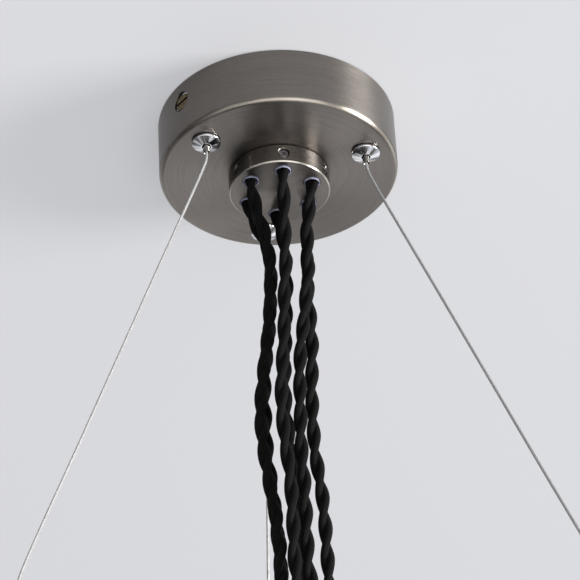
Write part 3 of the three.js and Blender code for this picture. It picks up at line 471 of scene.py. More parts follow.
# Turned shape from points of radius and height, which end on the axis or close on themselves
def turned(name, profile, sides=96, place=(0, 0, 0), closed=False):
    profile = np.array(profile, float) / 1000
    if closed:
        profile = np.vstack([profile, profile[:1]])
    angles = np.arange(sides) * 2 * math.pi / sides
    points, faces, rings = [], [], []
    for radius, height in profile:
        if radius < 1e-9:
            rings.append([len(points)] * sides)
            points.append((place[0], place[1], place[2] + height))
            continue
        rings.append(list(range(len(points), len(points) + sides)))
        points.extend(zip(place[0] + radius * np.sin(angles), place[1] - radius * np.cos(angles),
                          np.full(sides, place[2] + height)))
    for low, high in zip(rings, rings[1:]):
        for i in range(sides):
            j = (i + 1) % sides
            corners = list(dict.fromkeys((low[i], low[j], high[j], high[i])))
            if len(corners) > 2:
                faces.append(corners)
    return meshFrom(name, points, faces)


def rounded(before, corner, after, size):
    before, corner, after = np.array(before, float), np.array(corner, float), np.array(after, float)
    start = corner + (before - corner) / np.linalg.norm(before - corner) * size
    end = corner + (after - corner) / np.linalg.norm(after - corner) * size
    shares = np.linspace(0, 1, 6)[:, None]
    return ((1 - shares) ** 2 * start + 2 * shares * (1 - shares) * corner + shares ** 2 * end).tolist()


# Outline of radius and height, with each corner rounded by its own size
def softProfile(corners, edges):
    result = []
    for i, (corner, size) in enumerate(zip(corners, edges)):
        if size:
            result.extend(rounded(corners[i - 1], corner, corners[(i + 1) % len(corners)], size))
        else:
            result.append(corner)
    return result


# Turns a mesh made along Z to point outward at an angle, and moves it to a place
def turnOut(mesh, place, angle):
    frameOut = Matrix.Rotation(math.radians(angle), 4, "Z") @ Matrix.Rotation(math.radians(90), 4, "X")
    mesh.transform(Matrix.Translation(np.array(place) / 1000) @ frameOut)
    return mesh


def finishedMesh(helper):
    bpy.context.view_layer.update()
    result = bpy.data.meshes.new_from_object(helper.evaluated_get(bpy.context.evaluated_depsgraph_get()))
    helper.modifiers.clear()
    bpy.data.objects.remove(helper)
    return result


def cutMesh(mesh, cutters):
    base = newObject("base", mesh)
    helpers = [newObject(f"cutter{i}", cutter) for i, cutter in enumerate(cutters)]
    for helper in helpers:
        step = base.modifiers.new(helper.name, "BOOLEAN")
        step.operation, step.solver, step.object = "DIFFERENCE", "EXACT", helper
    result = finishedMesh(base)
    for helper in helpers:
        bpy.data.objects.remove(helper)
    return result


def joinedMesh(name, meshes):
    whole = bmesh.new()
    for mesh in meshes:
        whole.from_mesh(mesh)
    result = bpy.data.meshes.new(name)
    whole.to_mesh(result)
    whole.free()
    return result


softSetup = {"merge": 2e-6, "flatAngle": 1.5, "edgeAngle": 32, "segments": 2}


# A CAD piece with its facets merged and its edges softened by a width in metres
def softenedNode(name, node, width, material):
    made = bmesh.new()
    made.from_mesh(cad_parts[node].data)
    bmesh.ops.remove_doubles(made, verts=made.verts, dist=softSetup["merge"])
    bmesh.ops.dissolve_limit(made, angle_limit=math.radians(softSetup["flatAngle"]), verts=made.verts,
                             edges=made.edges)
    mesh = bpy.data.meshes.new(name)
    mesh.from_pydata([tuple(vert.co) for vert in made.verts], [],
                     [[vert.index for vert in face.verts] for face in made.faces])
    made.free()
    helper = newObject("helper", mesh)
    bevel = helper.modifiers.new("soften", "BEVEL")
    bevel.width, bevel.segments = width, softSetup["segments"]
    bevel.limit_method, bevel.angle_limit = "ANGLE", math.radians(softSetup["edgeAngle"])
    bevel.use_clamp_overlap = True
    return addObject(name, finishedMesh(helper), material, [node])


# Lines: a centripetal curve through given points, then even steps
def smoothLine(points, step):
    points = np.array(points, float)
    padded = np.vstack([2 * points[0] - points[1], points, 2 * points[-1] - points[-2]])
    line = []
    for a, b, c, d in zip(padded, padded[1:], padded[2:], padded[3:]):
        ab, bc, cd = [max(np.linalg.norm(q - p), 1e-9) ** 0.5 for p, q in ((a, b), (b, c), (c, d))]
        leave = ((b - a) / ab - (c - a) / (ab + bc) + (c - b) / bc) * bc
        arrive = ((c - b) / bc - (d - b) / (bc + cd) + (d - c) / cd) * bc
        share = np.linspace(0, 1, 24, endpoint=False)[:, None]
        line.append(b + leave * share + (3 * (c - b) - 2 * leave - arrive) * share ** 2
                    + (2 * (b - c) + leave + arrive) * share ** 3)
    line = np.vstack(line + [points[-1:]])
    reach = np.concatenate([[0], np.cumsum(np.linalg.norm(np.diff(line, axis=0), axis=1))])
    even = np.linspace(0, reach[-1], max(2, int(reach[-1] / step) + 1))
    return np.stack([np.interp(even, reach, line[:, i]) for i in range(3)], axis=1)


# Keeps a value on a geometry as it is now, for nodes further on
def keepValue(tree, geometry, kind, value):
    node = tree.nodes.new("GeometryNodeCaptureAttribute")
    node.capture_items.new(kind, "Kept")
    setInputs(tree, node, {"Geometry": geometry, "Kept": value})
    return node.outputs["Geometry"], node.outputs["Kept"]


def finishTree(tree, geometry, material, result):
    realized = addNode(tree, "GeometryNodeRealizeInstances", {0: geometry})[0]
    finished = addNode(tree, "GeometryNodeSetMaterial", {"Geometry": realized, "Material": material})[0]
    tree.links.new(finished, result)


# Twisted rope along a line: every strand winds round it, right-handed for a positive pitch
def ropeTree():
    tree, given, result = newGroup("twistedRope", "GeometryNodeTree", [
        ("Line", "Geometry"), ("Strands", "Int", 2), ("Offset", "Float", 0.0015), ("Pitch", "Float", 0.028),
        ("Phase", "Float", 0.0), ("Strand radius", "Float", 0.0016), ("Sides", "Int", 18),
        ("Neck length", "Float", 0.0), ("Neck taper", "Float", 0.005), ("Neck scale", "Float", 1.0),
        ("Material", "Material")], [("Rope", "Geometry")])
    curve = addNode(tree, "GeometryNodeMeshToCurve", {0: given["Line"]})[0]
    copies = addNode(tree, "GeometryNodeDuplicateElements", domain="SPLINE",
                     inputs={"Geometry": curve, "Amount": given["Strands"]})
    along = addNode(tree, "GeometryNodeSplineParameter")["Length"]
    turn = product(tree, mathNode(tree, "DIVIDE", along, given["Pitch"]), 2 * math.pi)
    share = mathNode(tree, "DIVIDE", copies["Duplicate Index"], given["Strands"])
    turn = mathNode(tree, "ADD", mathNode(tree, "ADD", turn, given["Phase"]),
                    product(tree, share, 2 * math.pi))
    normal = addNode(tree, "GeometryNodeInputNormal")[0]
    side = vectorNode(tree, "CROSS_PRODUCT", addNode(tree, "GeometryNodeInputTangent")[0], normal)
    neckEnd = mathNode(tree, "ADD", given["Neck length"], given["Neck taper"])
    neck = rangeNode(tree, along, given["Neck length"], neckEnd, given["Neck scale"], 1.0)
    offset = product(tree, given["Offset"], neck)
    first = scaledVector(tree, normal, product(tree, mathNode(tree, "COSINE", turn), offset))
    second = scaledVector(tree, side, product(tree, mathNode(tree, "SINE", turn), offset))
    strands, strandLength = keepValue(tree, copies["Geometry"], "FLOAT", along)
    wound = addNode(tree, "GeometryNodeSetPosition",
                    {"Geometry": strands, "Offset": vectorNode(tree, "ADD", first, second)})[0]
    thinned = addNode(tree, "GeometryNodeSetCurveRadius", {0: wound, "Radius": neck})[0]
    ring = addNode(tree, "GeometryNodeCurvePrimitiveCircle",
                   {"Resolution": given["Sides"], "Radius": given["Strand radius"]})[0]
    unit = vectorNode(tree, "NORMALIZE", addNode(tree, "GeometryNodeInputPosition")[0])
    ring, ringSide = keepValue(tree, ring, "VECTOR", unit)
    swept = addNode(tree, "GeometryNodeCurveToMesh",
                    {"Curve": thinned, "Profile Curve": ring, "Fill Caps": True})[0]
    across = splitVector(tree, ringSide)
    stored = addNode(tree, "GeometryNodeStoreNamedAttribute", data_type="FLOAT_VECTOR", domain="POINT",
                     inputs={"Geometry": swept, "Name": "strandPlace",
                             "Value": joinedVector(tree, across[0], across[1], strandLength)})[0]
    finishTree(tree, stored, given["Material"], result["Rope"])
    return tree


def grownMesh(mesh, tree, values):
    helper = newObject("helper", mesh)
    modifier = helper.modifiers.new("grow", "NODES")
    modifier.node_group = tree
    for item in tree.interface.items_tree:
        if item.in_out == "INPUT" and item.name in values:
            modifier[item.identifier] = values[item.name]
    return finishedMesh(helper)


twistedRope = ropeTree()


def makeRope(name, line, material, nodes, sizes):
    mesh = bpy.data.meshes.new("line")
    mesh.from_pydata(line.tolist(), [(i, i + 1) for i in range(len(line) - 1)], [])
    rope = grownMesh(mesh, twistedRope, {"Material": materials[material], **sizes})
    return addObject(name, rope, material, nodes, sharp=60)


# Pendant cords: a twisted pair in braided sleeves, down into their lampholders. Strands, pitches, neck
# and step are in metres; the circle, the exit and the routes are in millimetres
cordSetup = {"count": 6, "firstAngle": 7, "pitchRadius": 14.6, "exitHeight": -36.1, "step": 0.0007,
             "strands": 2, "strandRadius": 0.00155, "offset": 0.00127, "sides": 18,
             "neckLength": 0.0167, "neckScale": 0.9,
             "pitches": [0.031, 0.029, 0.029, 0.029, 0.0275, 0.0275],
             "phases": [0.73, 1.1, 1.57, 0.6, 1.08, 2.92]}
cordRoutes = {
    1: [[1.78, -14.49, -20.3], [1.78, -14.49, -37], [1.6, -12.6, -47], [1.2, -8.6, -61], [0.9, -7.4, -77],
        [-0.3, -7.2, -91], [-0.9, -7.2, -104], [-1.6, -7.2, -116], [-2.9, -7.3, -130], [-3.8, -7.5, -146],
        [-3.2, -7.6, -163], [-1.9, -7.7, -181], [-1.8, -7.8, -200], [-1.8, -8.4, -222], [0.4, -12.5, -245],
        [1.8, -20, -264], [3.1, -26.3, -281], [3.41, -27.79, -295], [3.41, -27.79, -304.7]],
    2: [[13.44, -5.7, -20.3], [13.44, -5.7, -37], [11.8, -4.9, -48], [10.3, -3.8, -63], [10, -3.4, -78],
        [8.4, -3.2, -91], [6.8, -3, -104], [5.1, -2.9, -116], [4, -2.8, -130], [3.5, -2.7, -146],
        [3, -2.5, -163], [3.4, -2.4, -181], [3.3, -2.3, -200], [3.6, -2.2, -222], [8.5, -3.7, -245],
        [16, -6.8, -264], [24, -10.2, -281], [25.77, -10.94, -295], [25.77, -10.94, -304.7]],
    3: [[11.66, 8.79, -20.3], [11.66, 8.79, -37], [10.5, 7.7, -48], [9.9, 5.9, -63], [9.4, 5.1, -78],
        [9.5, 4.7, -91], [9.8, 4.5, -104], [9.5, 4.3, -116], [8.6, 4.2, -130], [8.2, 4.1, -146],
        [8.4, 4, -163], [10, 3.9, -181], [10.6, 3.6, -200], [10.8, 3.4, -222], [12.6, 6, -245],
        [17, 11, -264], [21.3, 15.7, -281], [22.36, 16.85, -295], [22.36, 16.85, -304.7]],
    4: [[-1.78, 14.49, -20.3], [-1.78, 14.49, -37], [0, 12.6, -48], [1.1, 9.6, -64], [0.8, 8.4, -78],
        [0, 8.2, -91], [-0.8, 7.6, -104], [-1.6, 6.2, -117], [-2.2, 4.8, -130], [-2, 3.9, -146],
        [-0.9, 3.7, -163], [0.3, 3.7, -181], [0.4, 4, -200], [0, 4.7, -222], [-0.5, 9.2, -245],
        [-1.7, 18, -264], [-3, 26, -281], [-3.41, 27.79, -295], [-3.41, 27.79, -304.7]],
    5: [[-13.44, 5.7, -20.3], [-13.44, 5.7, -37], [-10.5, 5.3, -48], [-6, 4.5, -63], [-5.5, 4.3, -78],
        [-6.4, 4.2, -91], [-7.5, 4.2, -104], [-9, 4.3, -116], [-10.3, 4.4, -130], [-10.6, 4.5, -146],
        [-10.4, 4.5, -163], [-9, 4.6, -181], [-8, 5, -200], [-7.7, 6, -222], [-11.6, 7.3, -245],
        [-18, 9, -264], [-24.2, 10.5, -281], [-25.77, 10.94, -295], [-25.77, 10.94, -304.7]],
    6: [[-11.66, -8.79, -20.3], [-11.66, -8.79, -37], [-10, -7.4, -48], [-6.5, -4.4, -63], [-5.5, -3.4, -78],
        [-6.2, -3.2, -91], [-7.1, -3.2, -104], [-8.7, -3.2, -116], [-10.6, -3.2, -130], [-12.2, -3.2, -147],
        [-11.8, -3.2, -163], [-10, -3.4, -181], [-7.9, -3.6, -200], [-7.3, -4.2, -222], [-10.2, -7.2, -245],
        [-16.6, -12.4, -264], [-21.3, -15.9, -281], [-22.36, -16.85, -295], [-22.36, -16.85, -304.7]],
}
cordNumbers = range(1, cordSetup["count"] + 1)


def cordAngle(k):
    return cordSetup["firstAngle"] + 360 / cordSetup["count"] * (k - 1)


def cordPlace(k, height=0.0):
    return polar(cordSetup["pitchRadius"], cordAngle(k), height)


def makeCord(k, setup, holderPieces):
    line = smoothLine(np.array(cordRoutes[k]) / 1000, setup["step"])
    piece = makeRope(f"pendantCord_{k}", line, "fabric", [f"cord_{k}"], {
        "Strands": setup["strands"], "Offset": setup["offset"], "Pitch": setup["pitches"][k - 1],
        "Phase": setup["phases"][k - 1], "Strand radius": setup["strandRadius"], "Sides": setup["sides"],
        "Neck length": setup["neckLength"], "Neck scale": setup["neckScale"]})


# Lampholder at the lower end of each cord: ribbed body, threaded shell and contact
holderSetup = {"pitchRadius": 28, "top": -300, "radius": 12.5, "length": 42, "neckRadius": 5.5,
               "neckLength": 5, "shoulder": 7, "shoulderRadius": 9.2, "shoulderRise": 4.6,
               "entryRadius": 3.35, "entryDepth": 4.4, "grooveDrop": 5, "grooveDepth": 0.6,
               "grooveWidth": 1.6, "socketRadius": 10.5, "socketDepth": 26,
               "edges": (0, 0, 0.3, 0.6, 0.8, 1.6, 1.2, 0.25, 0.15, 0.15, 0.25, 0.5, 0.3, 0, 0)}
ribSetup = {"count": 40, "radius": 0.4, "length": 9, "sink": 0.42, "drop": 12.6}
shellSetup = {"foot": 1.2, "top": 2.5, "step": 0.35, "wall": 0.35, "gap": 0.05, "threadDepth": 0.22,
              "threadPitch": 3.2}
contactSetup = {"radius": 3.4, "tipRadius": 1.6, "sink": 0.1, "side": 0.9, "drop": 2.2,
                "edges": (0, 0, 0.3, 0.5, 0)}


# Small ribs round a shell, set upright on a circle
def ribTree():
    tree, given, result = newGroup("ribsRound", "GeometryNodeTree", [
        ("Shell", "Geometry"), ("Ribs", "Int", 36), ("Circle radius", "Float", 0.0122),
        ("Rib radius", "Float", 0.0005), ("Rib length", "Float", 0.01), ("Place", "Vector", (0, 0, 0)),
        ("Material", "Material")], [("Ribbed", "Geometry")])
    circle = addNode(tree, "GeometryNodeMeshCircle",
                     {"Vertices": given["Ribs"], "Radius": given["Circle radius"]})[0]
    rib = addNode(tree, "GeometryNodeMeshUVSphere",
                  {"Segments": 8, "Rings": 6, "Radius": given["Rib radius"]})[0]
    ribWidth = product(tree, given["Rib radius"], 2.0)
    stretch = joinedVector(tree, 1, 1, mathNode(tree, "DIVIDE", given["Rib length"], ribWidth))
    spread = addNode(tree, "GeometryNodeInstanceOnPoints",
                     {"Points": circle, "Instance": rib, "Scale": stretch})[0]
    placed = addNode(tree, "GeometryNodeTransform", {"Geometry": spread, "Translation": given["Place"]})[0]
    both = tree.nodes.new("GeometryNodeJoinGeometry")
    tree.links.new(given["Shell"], both.inputs[0])
    tree.links.new(placed, both.inputs[0])
    finishTree(tree, both.outputs[0], given["Material"], result["Ribbed"])
    return tree


ribsRound = ribTree()


def makeHolderBody(k, setup, at, cap, foot, floor):
    outer, bore = setup["radius"], setup["socketRadius"]
    neck, entry = setup["neckRadius"], setup["entryRadius"]
    groove, grooveTop = outer - setup["grooveDepth"], cap - setup["grooveDrop"]
    grooveFoot = grooveTop - setup["grooveWidth"]
    body = turned(f"lampholder_{k}", softProfile([
        (0, -setup["entryDepth"]), (entry, -setup["entryDepth"]), (entry, 0), (neck, 0),
        (neck, -setup["neckLength"]), (setup["shoulderRadius"], cap + setup["shoulderRise"]),
        (outer, cap), (outer, grooveTop), (groove, grooveTop), (groove, grooveFoot), (outer, grooveFoot),
        (outer, foot), (bore, foot), (bore, floor), (0, floor)], setup["edges"]), 72, at)
    ribbed = grownMesh(body, ribsRound, {
        "Ribs": ribSetup["count"], "Circle radius": (outer - ribSetup["sink"]) / 1000,
        "Rib radius": ribSetup["radius"] / 1000, "Rib length": ribSetup["length"] / 1000,
        "Place": tuple(at + np.array((0, 0, (cap - ribSetup["drop"]) / 1000))),
        "Material": materials["blackPlastic"]})
    return addObject(f"lampholderBody_{k}", ribbed, "blackPlastic", [f"lampholder_{k}"])


def makeShell(k, setup, at, bore, foot, floor):
    heights = np.arange(foot + setup["foot"], floor - setup["top"], setup["step"])
    crest = bore - setup["wall"]
    thread = [(crest + setup["threadDepth"] * math.cos(height * 2 * math.pi / setup["threadPitch"]), height)
              for height in heights]
    back = [(bore - setup["gap"], heights[-1]), (bore - setup["gap"], heights[0])]
    shell = turned(f"socketShell_{k}", thread + back, 64, at, closed=True)
    return addObject(f"socketShell_{k}", shell, "brass", sharp=50)


def makeContact(k, setup, at, floor):
    base, side, tip = floor + setup["sink"], floor - setup["side"], floor - setup["drop"]
    contact = turned(f"socketContact_{k}", softProfile([
        (0, base), (setup["radius"], base), (setup["radius"], side), (setup["tipRadius"], tip), (0, tip)],
        setup["edges"]), 32, at)
    return addObject(f"socketContact_{k}", contact, "brass")


def makeLampholder(k, setup):
    at = polar(setup["pitchRadius"], cordAngle(k), setup["top"]) / 1000
    cap = -setup["neckLength"] - setup["shoulder"]
    foot, floor = -setup["length"], -setup["length"] + setup["socketDepth"]
    return [makeHolderBody(k, setup, at, cap, foot, floor),
            makeShell(k, shellSetup, at, setup["socketRadius"], foot, floor),
            makeContact(k, contactSetup, at, floor)]


for k in cordNumbers:
    makeCord(k, cordSetup, makeLampholder(k, holderSetup))
print("cords and lampholders made")


# Cable grippers and suspension wires in millimetres, with heights from the canopy's face; only the ropes'
# diameter, strands, pitch and step and a softened edge are in metres
gripperSetup = {"count": 3, "pitchRadius": 38.6, "firstAngle": -49, "canopyFace": -26.5,
                "canopyHole": 4.3, "bore": 1.9, "coneTip": -2.8, "coneEnd": 2.2, "coneRadius": 6,
                "coneEdge": -1.2, "coneSeat": -0.3, "barrelRadius": 4, "barrelFoot": 1.2,
                "barrelTop": 10.2, "barrelEnd": 3.7, "thread": 0.8, "threadDepth": 0.22,
                "threadStart": 4.9, "threadRunOut": 0.5, "threadStep": 0.1, "throatTop": 0.4,
                "taperTop": 5.0, "chamberTop": 9.2, "chamberRadius": 2.8, "clearance": 0.3,
                "edges": (0, 0.12, 0.3, 0.2, 0, 0), "nutEdge": 0.0003}
plungerSetup = {"foot": -5.8, "bore": 0.95, "mouth": 1.3, "mouthDepth": 0.5, "radius": 1.6, "groove": 1.5,
                "lip": 0.55, "grooveFoot": 0.65, "grooveTop": 3.3, "grooveEnd": 3.5,
                "flangeRadius": 2.3, "flangeHeight": 0.6,
                "edges": (0.1, 0.08, 0.15, 0.08, 0.05, 0.05, 0.05, 0, 0.1, 0.1, 0)}
springSetup = {"height": 2.9, "radius": 1.95, "turns": 2.5, "points": 90, "endGap": 0.5,
               "wireRadius": 0.0002, "sides": 10, "keep": 0.48}
wireSetup = {"diameter": 0.0012, "strands": 6, "offset": 0.0004, "strandRadius": 0.00021, "pitch": 0.0085,
             "sides": 8, "step": 0.0006, "leans": [21.5, 20.2, 21], "swings": [-2, 0, -4],
             "bendDrop": 6.5, "bendStart": 0.5, "freeLength": 247, "ferrule": 9, "eyeLength": 13.0,
             "eyeWidth": 8.6, "strandGap": 0.3, "tailRise": 3.4, "tailReach": 6, "endProud": 0.7,
             "meetLength": 1, "eyeShares": [(0.06, 0.16), (0.3, 0.62), (0.6, 1), (0.86, 0.74)]}
ferruleSetup = {"radius": 1.65, "spread": 0.75, "press": 0.24, "presses": 3, "edge": 0.4, "rings": 40,
                "sides": 40, "ends": [(0.9, 0), (1.4, 0), (1.62, 0.25)]}
gripperNumbers = range(1, gripperSetup["count"] + 1)


def gripperAngle(k):
    return gripperSetup["firstAngle"] + 360 / gripperSetup["count"] * (k - 1)


# From a gripper's own frame, X outward and Z up from the canopy's face, to the row frame in metres
def fromGripper(k, points, swing=0.0):
    angle = math.radians(gripperAngle(k) - 90 + swing)
    points = np.atleast_2d(np.array(points, float))
    turnedX = points[:, 0] * math.cos(angle) - points[:, 1] * math.sin(angle)
    turnedY = points[:, 0] * math.sin(angle) + points[:, 1] * math.cos(angle)
    base = polar(gripperSetup["pitchRadius"], gripperAngle(k), gripperSetup["canopyFace"])
    return (np.stack([turnedX, turnedY, points[:, 2]], axis=1) + base) / 1000


# Places on a wire's leaning run, so far along it, beside it in its own plane, and off that plane
def onWire(k, setup, reach, beside=0.0, off=0.0):
    lean = math.radians(setup["leans"][k - 1])
    bendOut = setup["bendDrop"] * math.tan(lean) / 2
    bendEnd = plungerSetup["foot"] - setup["bendStart"] - setup["bendDrop"]
    return (bendOut + reach * math.sin(lean) + beside * math.cos(lean), off,
            bendEnd - reach * math.cos(lean) + beside * math.sin(lean))


def wirePoints(k, setup, grip):
    mouth = plungerSetup["foot"] - setup["bendStart"]
    strand = (setup["diameter"] * 1000 + setup["strandGap"]) / 2
    start, end = setup["freeLength"], setup["freeLength"] + setup["ferrule"]
    barrel, rise, reach = grip["barrelTop"], setup["tailRise"], setup["tailReach"]

    def along(length, beside=0.0):
        return onWire(k, setup, length, beside)

    half = [(end + share * setup["eyeLength"], max(strand, width * setup["eyeWidth"] / 2))
            for share, width in setup["eyeShares"]]
    tail = [(-reach, 0, barrel + rise), (-reach / 2, 0, barrel + rise - rise / 8),
            (-reach / 8, 0, barrel + rise / 2)]
    inside = [(0, 0, height) for height in (barrel, grip["throatTop"], grip["coneTip"], mouth)]
    free = [(along(0)[0] / 4, 0, mouth - setup["bendDrop"] / 2), along(0), along(start / 3),
            along(2 * start / 3), along(start - setup["ferrule"])]
    down = [along(start - setup["meetLength"], -strand), along(end, -strand)]
    eye = [along(length, -width) for length, width in half] + [along(end + setup["eyeLength"])]
    back = [along(length, width) for length, width in half[::-1]]
    back += [along(end, strand), along(start - setup["endProud"], strand)]
    return tail + inside + free + down + eye + back


def makeFerrule(k, setup, wire):
    sides, length = setup["sides"], wire["ferrule"]
    angles = np.linspace(0, 2 * math.pi, sides, endpoint=False)

    def ring(radius, height):
        spread = np.where(np.cos(angles) >= 0, setup["spread"], -setup["spread"])
        across, off = spread + radius * np.cos(angles), radius * np.sin(angles)
        return np.stack(onWire(k, wire, wire["freeLength"] + height, across, off), axis=1)

    rings = [ring(radius, height) for radius, height in setup["ends"]]
    for height in np.linspace(setup["edge"], length - setup["edge"], setup["rings"]):
        press = max(math.cos((height / length * setup["presses"] - 0.5) * 2 * math.pi), 0) ** 2
        rings.append(ring(setup["radius"] - setup["press"] * press, height))
    rings += [ring(radius, length - height) for radius, height in setup["ends"][::-1]]
    count = len(rings)
    faces = []
    for row in range(count):
        low, high = row * sides, (row + 1) % count * sides
        for i in range(sides):
            j = (i + 1) % sides
            faces.append((low + i, low + j, high + j, high + i))
    points = fromGripper(k, np.vstack(rings), wire["swings"][k - 1])
    mesh = meshFrom(f"wireFerrule_{k}", points, faces)
    return addObject(f"wireFerrule_{k}", mesh, "zinc", [f"wire_ferrule_{k}"])


def makeWire(k, setup, grip):
    line = smoothLine(fromGripper(k, wirePoints(k, setup, grip), setup["swings"][k - 1]), setup["step"])
    ferrule = makeFerrule(k, ferruleSetup, setup)
    piece = makeRope(f"suspensionWire_{k}", line, "wire", [f"suspension_wire_{k}"], {
        "Strands": setup["strands"], "Offset": setup["offset"], "Pitch": setup["pitch"],
        "Strand radius": setup["strandRadius"], "Sides": setup["sides"]})


def makeGripperBody(k, setup, at):
    tip, top, chamber = setup["coneTip"], setup["barrelTop"], setup["chamberTop"]
    bore, cone, seat = setup["bore"], setup["coneRadius"], setup["coneSeat"]
    barrel, wide = setup["barrelRadius"], setup["chamberRadius"]
    heights = np.arange(setup["threadStart"], top - setup["threadRunOut"], setup["threadStep"])
    thread = [(barrel - setup["threadDepth"] * abs(math.sin(math.pi * height / setup["thread"])), height)
              for height in heights]
    outside = softProfile([(bore, tip), (setup["coneEnd"], tip), (cone, setup["coneEdge"]), (cone, seat),
                           (barrel, seat), (barrel, setup["barrelFoot"])], setup["edges"])
    inside = [(setup["barrelEnd"], top), (bore, top), (bore, chamber), (wide, chamber),
              (wide, setup["taperTop"]), (bore, setup["throatTop"]), (bore, tip)]
    mesh = turned(f"gripperBody_{k}", outside + thread + inside, 96, at)
    addObject(f"gripperBody_{k}", mesh, "chrome", [f"gripper_body_{k}"], sharp=28)


def makePlunger(k, setup, at, flange):
    foot, radius, bore, groove = setup["foot"], setup["radius"], setup["bore"], setup["groove"]
    wide, flangeFoot = setup["flangeRadius"], flange - setup["flangeHeight"]
    mesh = turned(f"gripperPlunger_{k}", softProfile([
        (bore, foot + setup["mouthDepth"]), (setup["mouth"], foot), (radius, foot),
        (radius, foot + setup["lip"]), (groove, foot + setup["grooveFoot"]),
        (groove, foot + setup["grooveTop"]), (radius, foot + setup["grooveEnd"]), (radius, flangeFoot),
        (wide, flangeFoot), (wide, flange), (bore, flange)], setup["edges"]), 64, at, closed=True)
    addObject(f"gripperPlunger_{k}", mesh, "nozzle", [f"gripper_plunger_{k}"], f"release_{k}", 28)


def makeSpring(k, setup, flange, chamber):
    low, high = flange + setup["endGap"], chamber - setup["endGap"]
    shares = np.linspace(0, 1, setup["points"])
    turns = [(setup["radius"] * math.sin(2 * math.pi * setup["turns"] * share),
              -setup["radius"] * math.cos(2 * math.pi * setup["turns"] * share), low + (high - low) * share)
             for share in shares]
    spring = makeRope(f"gripperSpring_{k}", fromGripper(k, turns), "zinc", [f"gripper_spring_{k}"], {
        "Strands": 1, "Offset": 0.0, "Strand radius": setup["wireRadius"], "Sides": setup["sides"]})
    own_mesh(spring)


def makeGripper(k, setup):
    at = fromGripper(k, (0, 0, 0))[0]
    chamber, clearance = setup["chamberTop"], setup["clearance"]
    flange = chamber - clearance - springSetup["height"] - clearance
    makeGripperBody(k, setup, at)
    makePlunger(k, plungerSetup, at, flange)
    makeSpring(k, springSetup, flange, chamber)
    softenedNode(f"gripperNut_{k}", f"gripper_nut_{k}", setup["nutEdge"], "zinc")


for k in gripperNumbers:
    makeGripper(k, gripperSetup)
    makeWire(k, wireSetup, gripperSetup)
print("grippers and wires made")


# Canopy, hub and their screws
canopySetup = {"radius": 50, "height": 26.5, "wall": 1.2, "edge": 2.2, "inner": 1.1, "rim": 0.25,
               "innerRim": 0.2, "faceRings": (0, 6, 12, 20, 28, 36, 44), "wallRings": (-18, -9),
               "floorRings": (44, 30, 15, 0), "sideDrop": 9.5, "sideHole": 4.5, "sideMouth": 5.6,
               "mouthDepth": 0.3, "mouthReach": 0.8, "bracketTurn": -51}
hubSetup = {"radius": 21.1, "face": -35.5, "top": -26.8, "bevel": 0.45, "faceRings": (0, 6, 12),
            "wallRing": 3, "topBevel": 0.2, "cordHole": 3.6, "screwHole": 2.8, "screwDepth": 6.3,
            "grubHole": 2.35, "grubHeight": -31, "grubMouth": 3.25, "mouthDepth": 0.25, "mouthReach": 0.65}
cutOverrun = 1


def quarter(centreRadius, centreHeight, size, start):
    angles = np.radians(np.linspace(start, start + 90, 11))
    return [(centreRadius + size * math.cos(a), centreHeight + size * math.sin(a)) for a in angles]


def drill(radius, low, high, place=(0, 0, 0), sides=72):
    profile = [(0, low), (radius, low), (radius, high), (0, high)]
    return turned("drill", profile, sides, np.array(place) / 1000)


# A hole that widens from a depth to its mouth
def mouthedDrill(radius, mouth, start, depth, reach, sides):
    profile = [(0, start), (radius, start), (radius, depth), (mouth, reach), (0, reach)]
    return turned("drill", profile, sides)


def makeCanopy(setup):
    face, floor = -setup["height"], -setup["height"] + setup["wall"]
    reach, inside = setup["radius"], setup["radius"] - setup["wall"]
    edge, inner, rim, innerRim = setup["edge"], setup["inner"], setup["rim"], setup["innerRim"]
    profile = [(radius, face) for radius in setup["faceRings"]]
    profile += quarter(reach - edge, face + edge, edge, -90)
    profile += [(reach, height) for height in (*setup["wallRings"], -rim)]
    profile += [(reach - rim, 0), (inside + innerRim, 0), (inside, -innerRim)]
    profile += quarter(inside - inner, floor + inner, inner, -90)[::-1]
    profile += [(radius, floor) for radius in setup["floorRings"]]
    low, high = face - cutOverrun, floor + cutOverrun
    holes = [drill(hubSetup["cordHole"], low, high, cordPlace(k)) for k in cordNumbers]
    gripperPlaces = [polar(gripperSetup["pitchRadius"], gripperAngle(k)) for k in gripperNumbers]
    holes += [drill(gripperSetup["canopyHole"], low, high, place) for place in gripperPlaces]
    holes.append(drill(hubSetup["screwHole"], low, high))
    for side in (0, 180):
        hole = mouthedDrill(setup["sideHole"], setup["sideMouth"], inside - cutOverrun,
                            reach - setup["mouthDepth"], reach + setup["mouthReach"], 72)
        holes.append(turnOut(hole, (0, 0, -setup["sideDrop"]), setup["bracketTurn"] + side))
    cup = cutMesh(turned("canopyCup", profile, 240), [joinedMesh("holes", holes)])
    addObject("canopyCup", cup, "nickel", ["canopy_cup"], sharp=28)


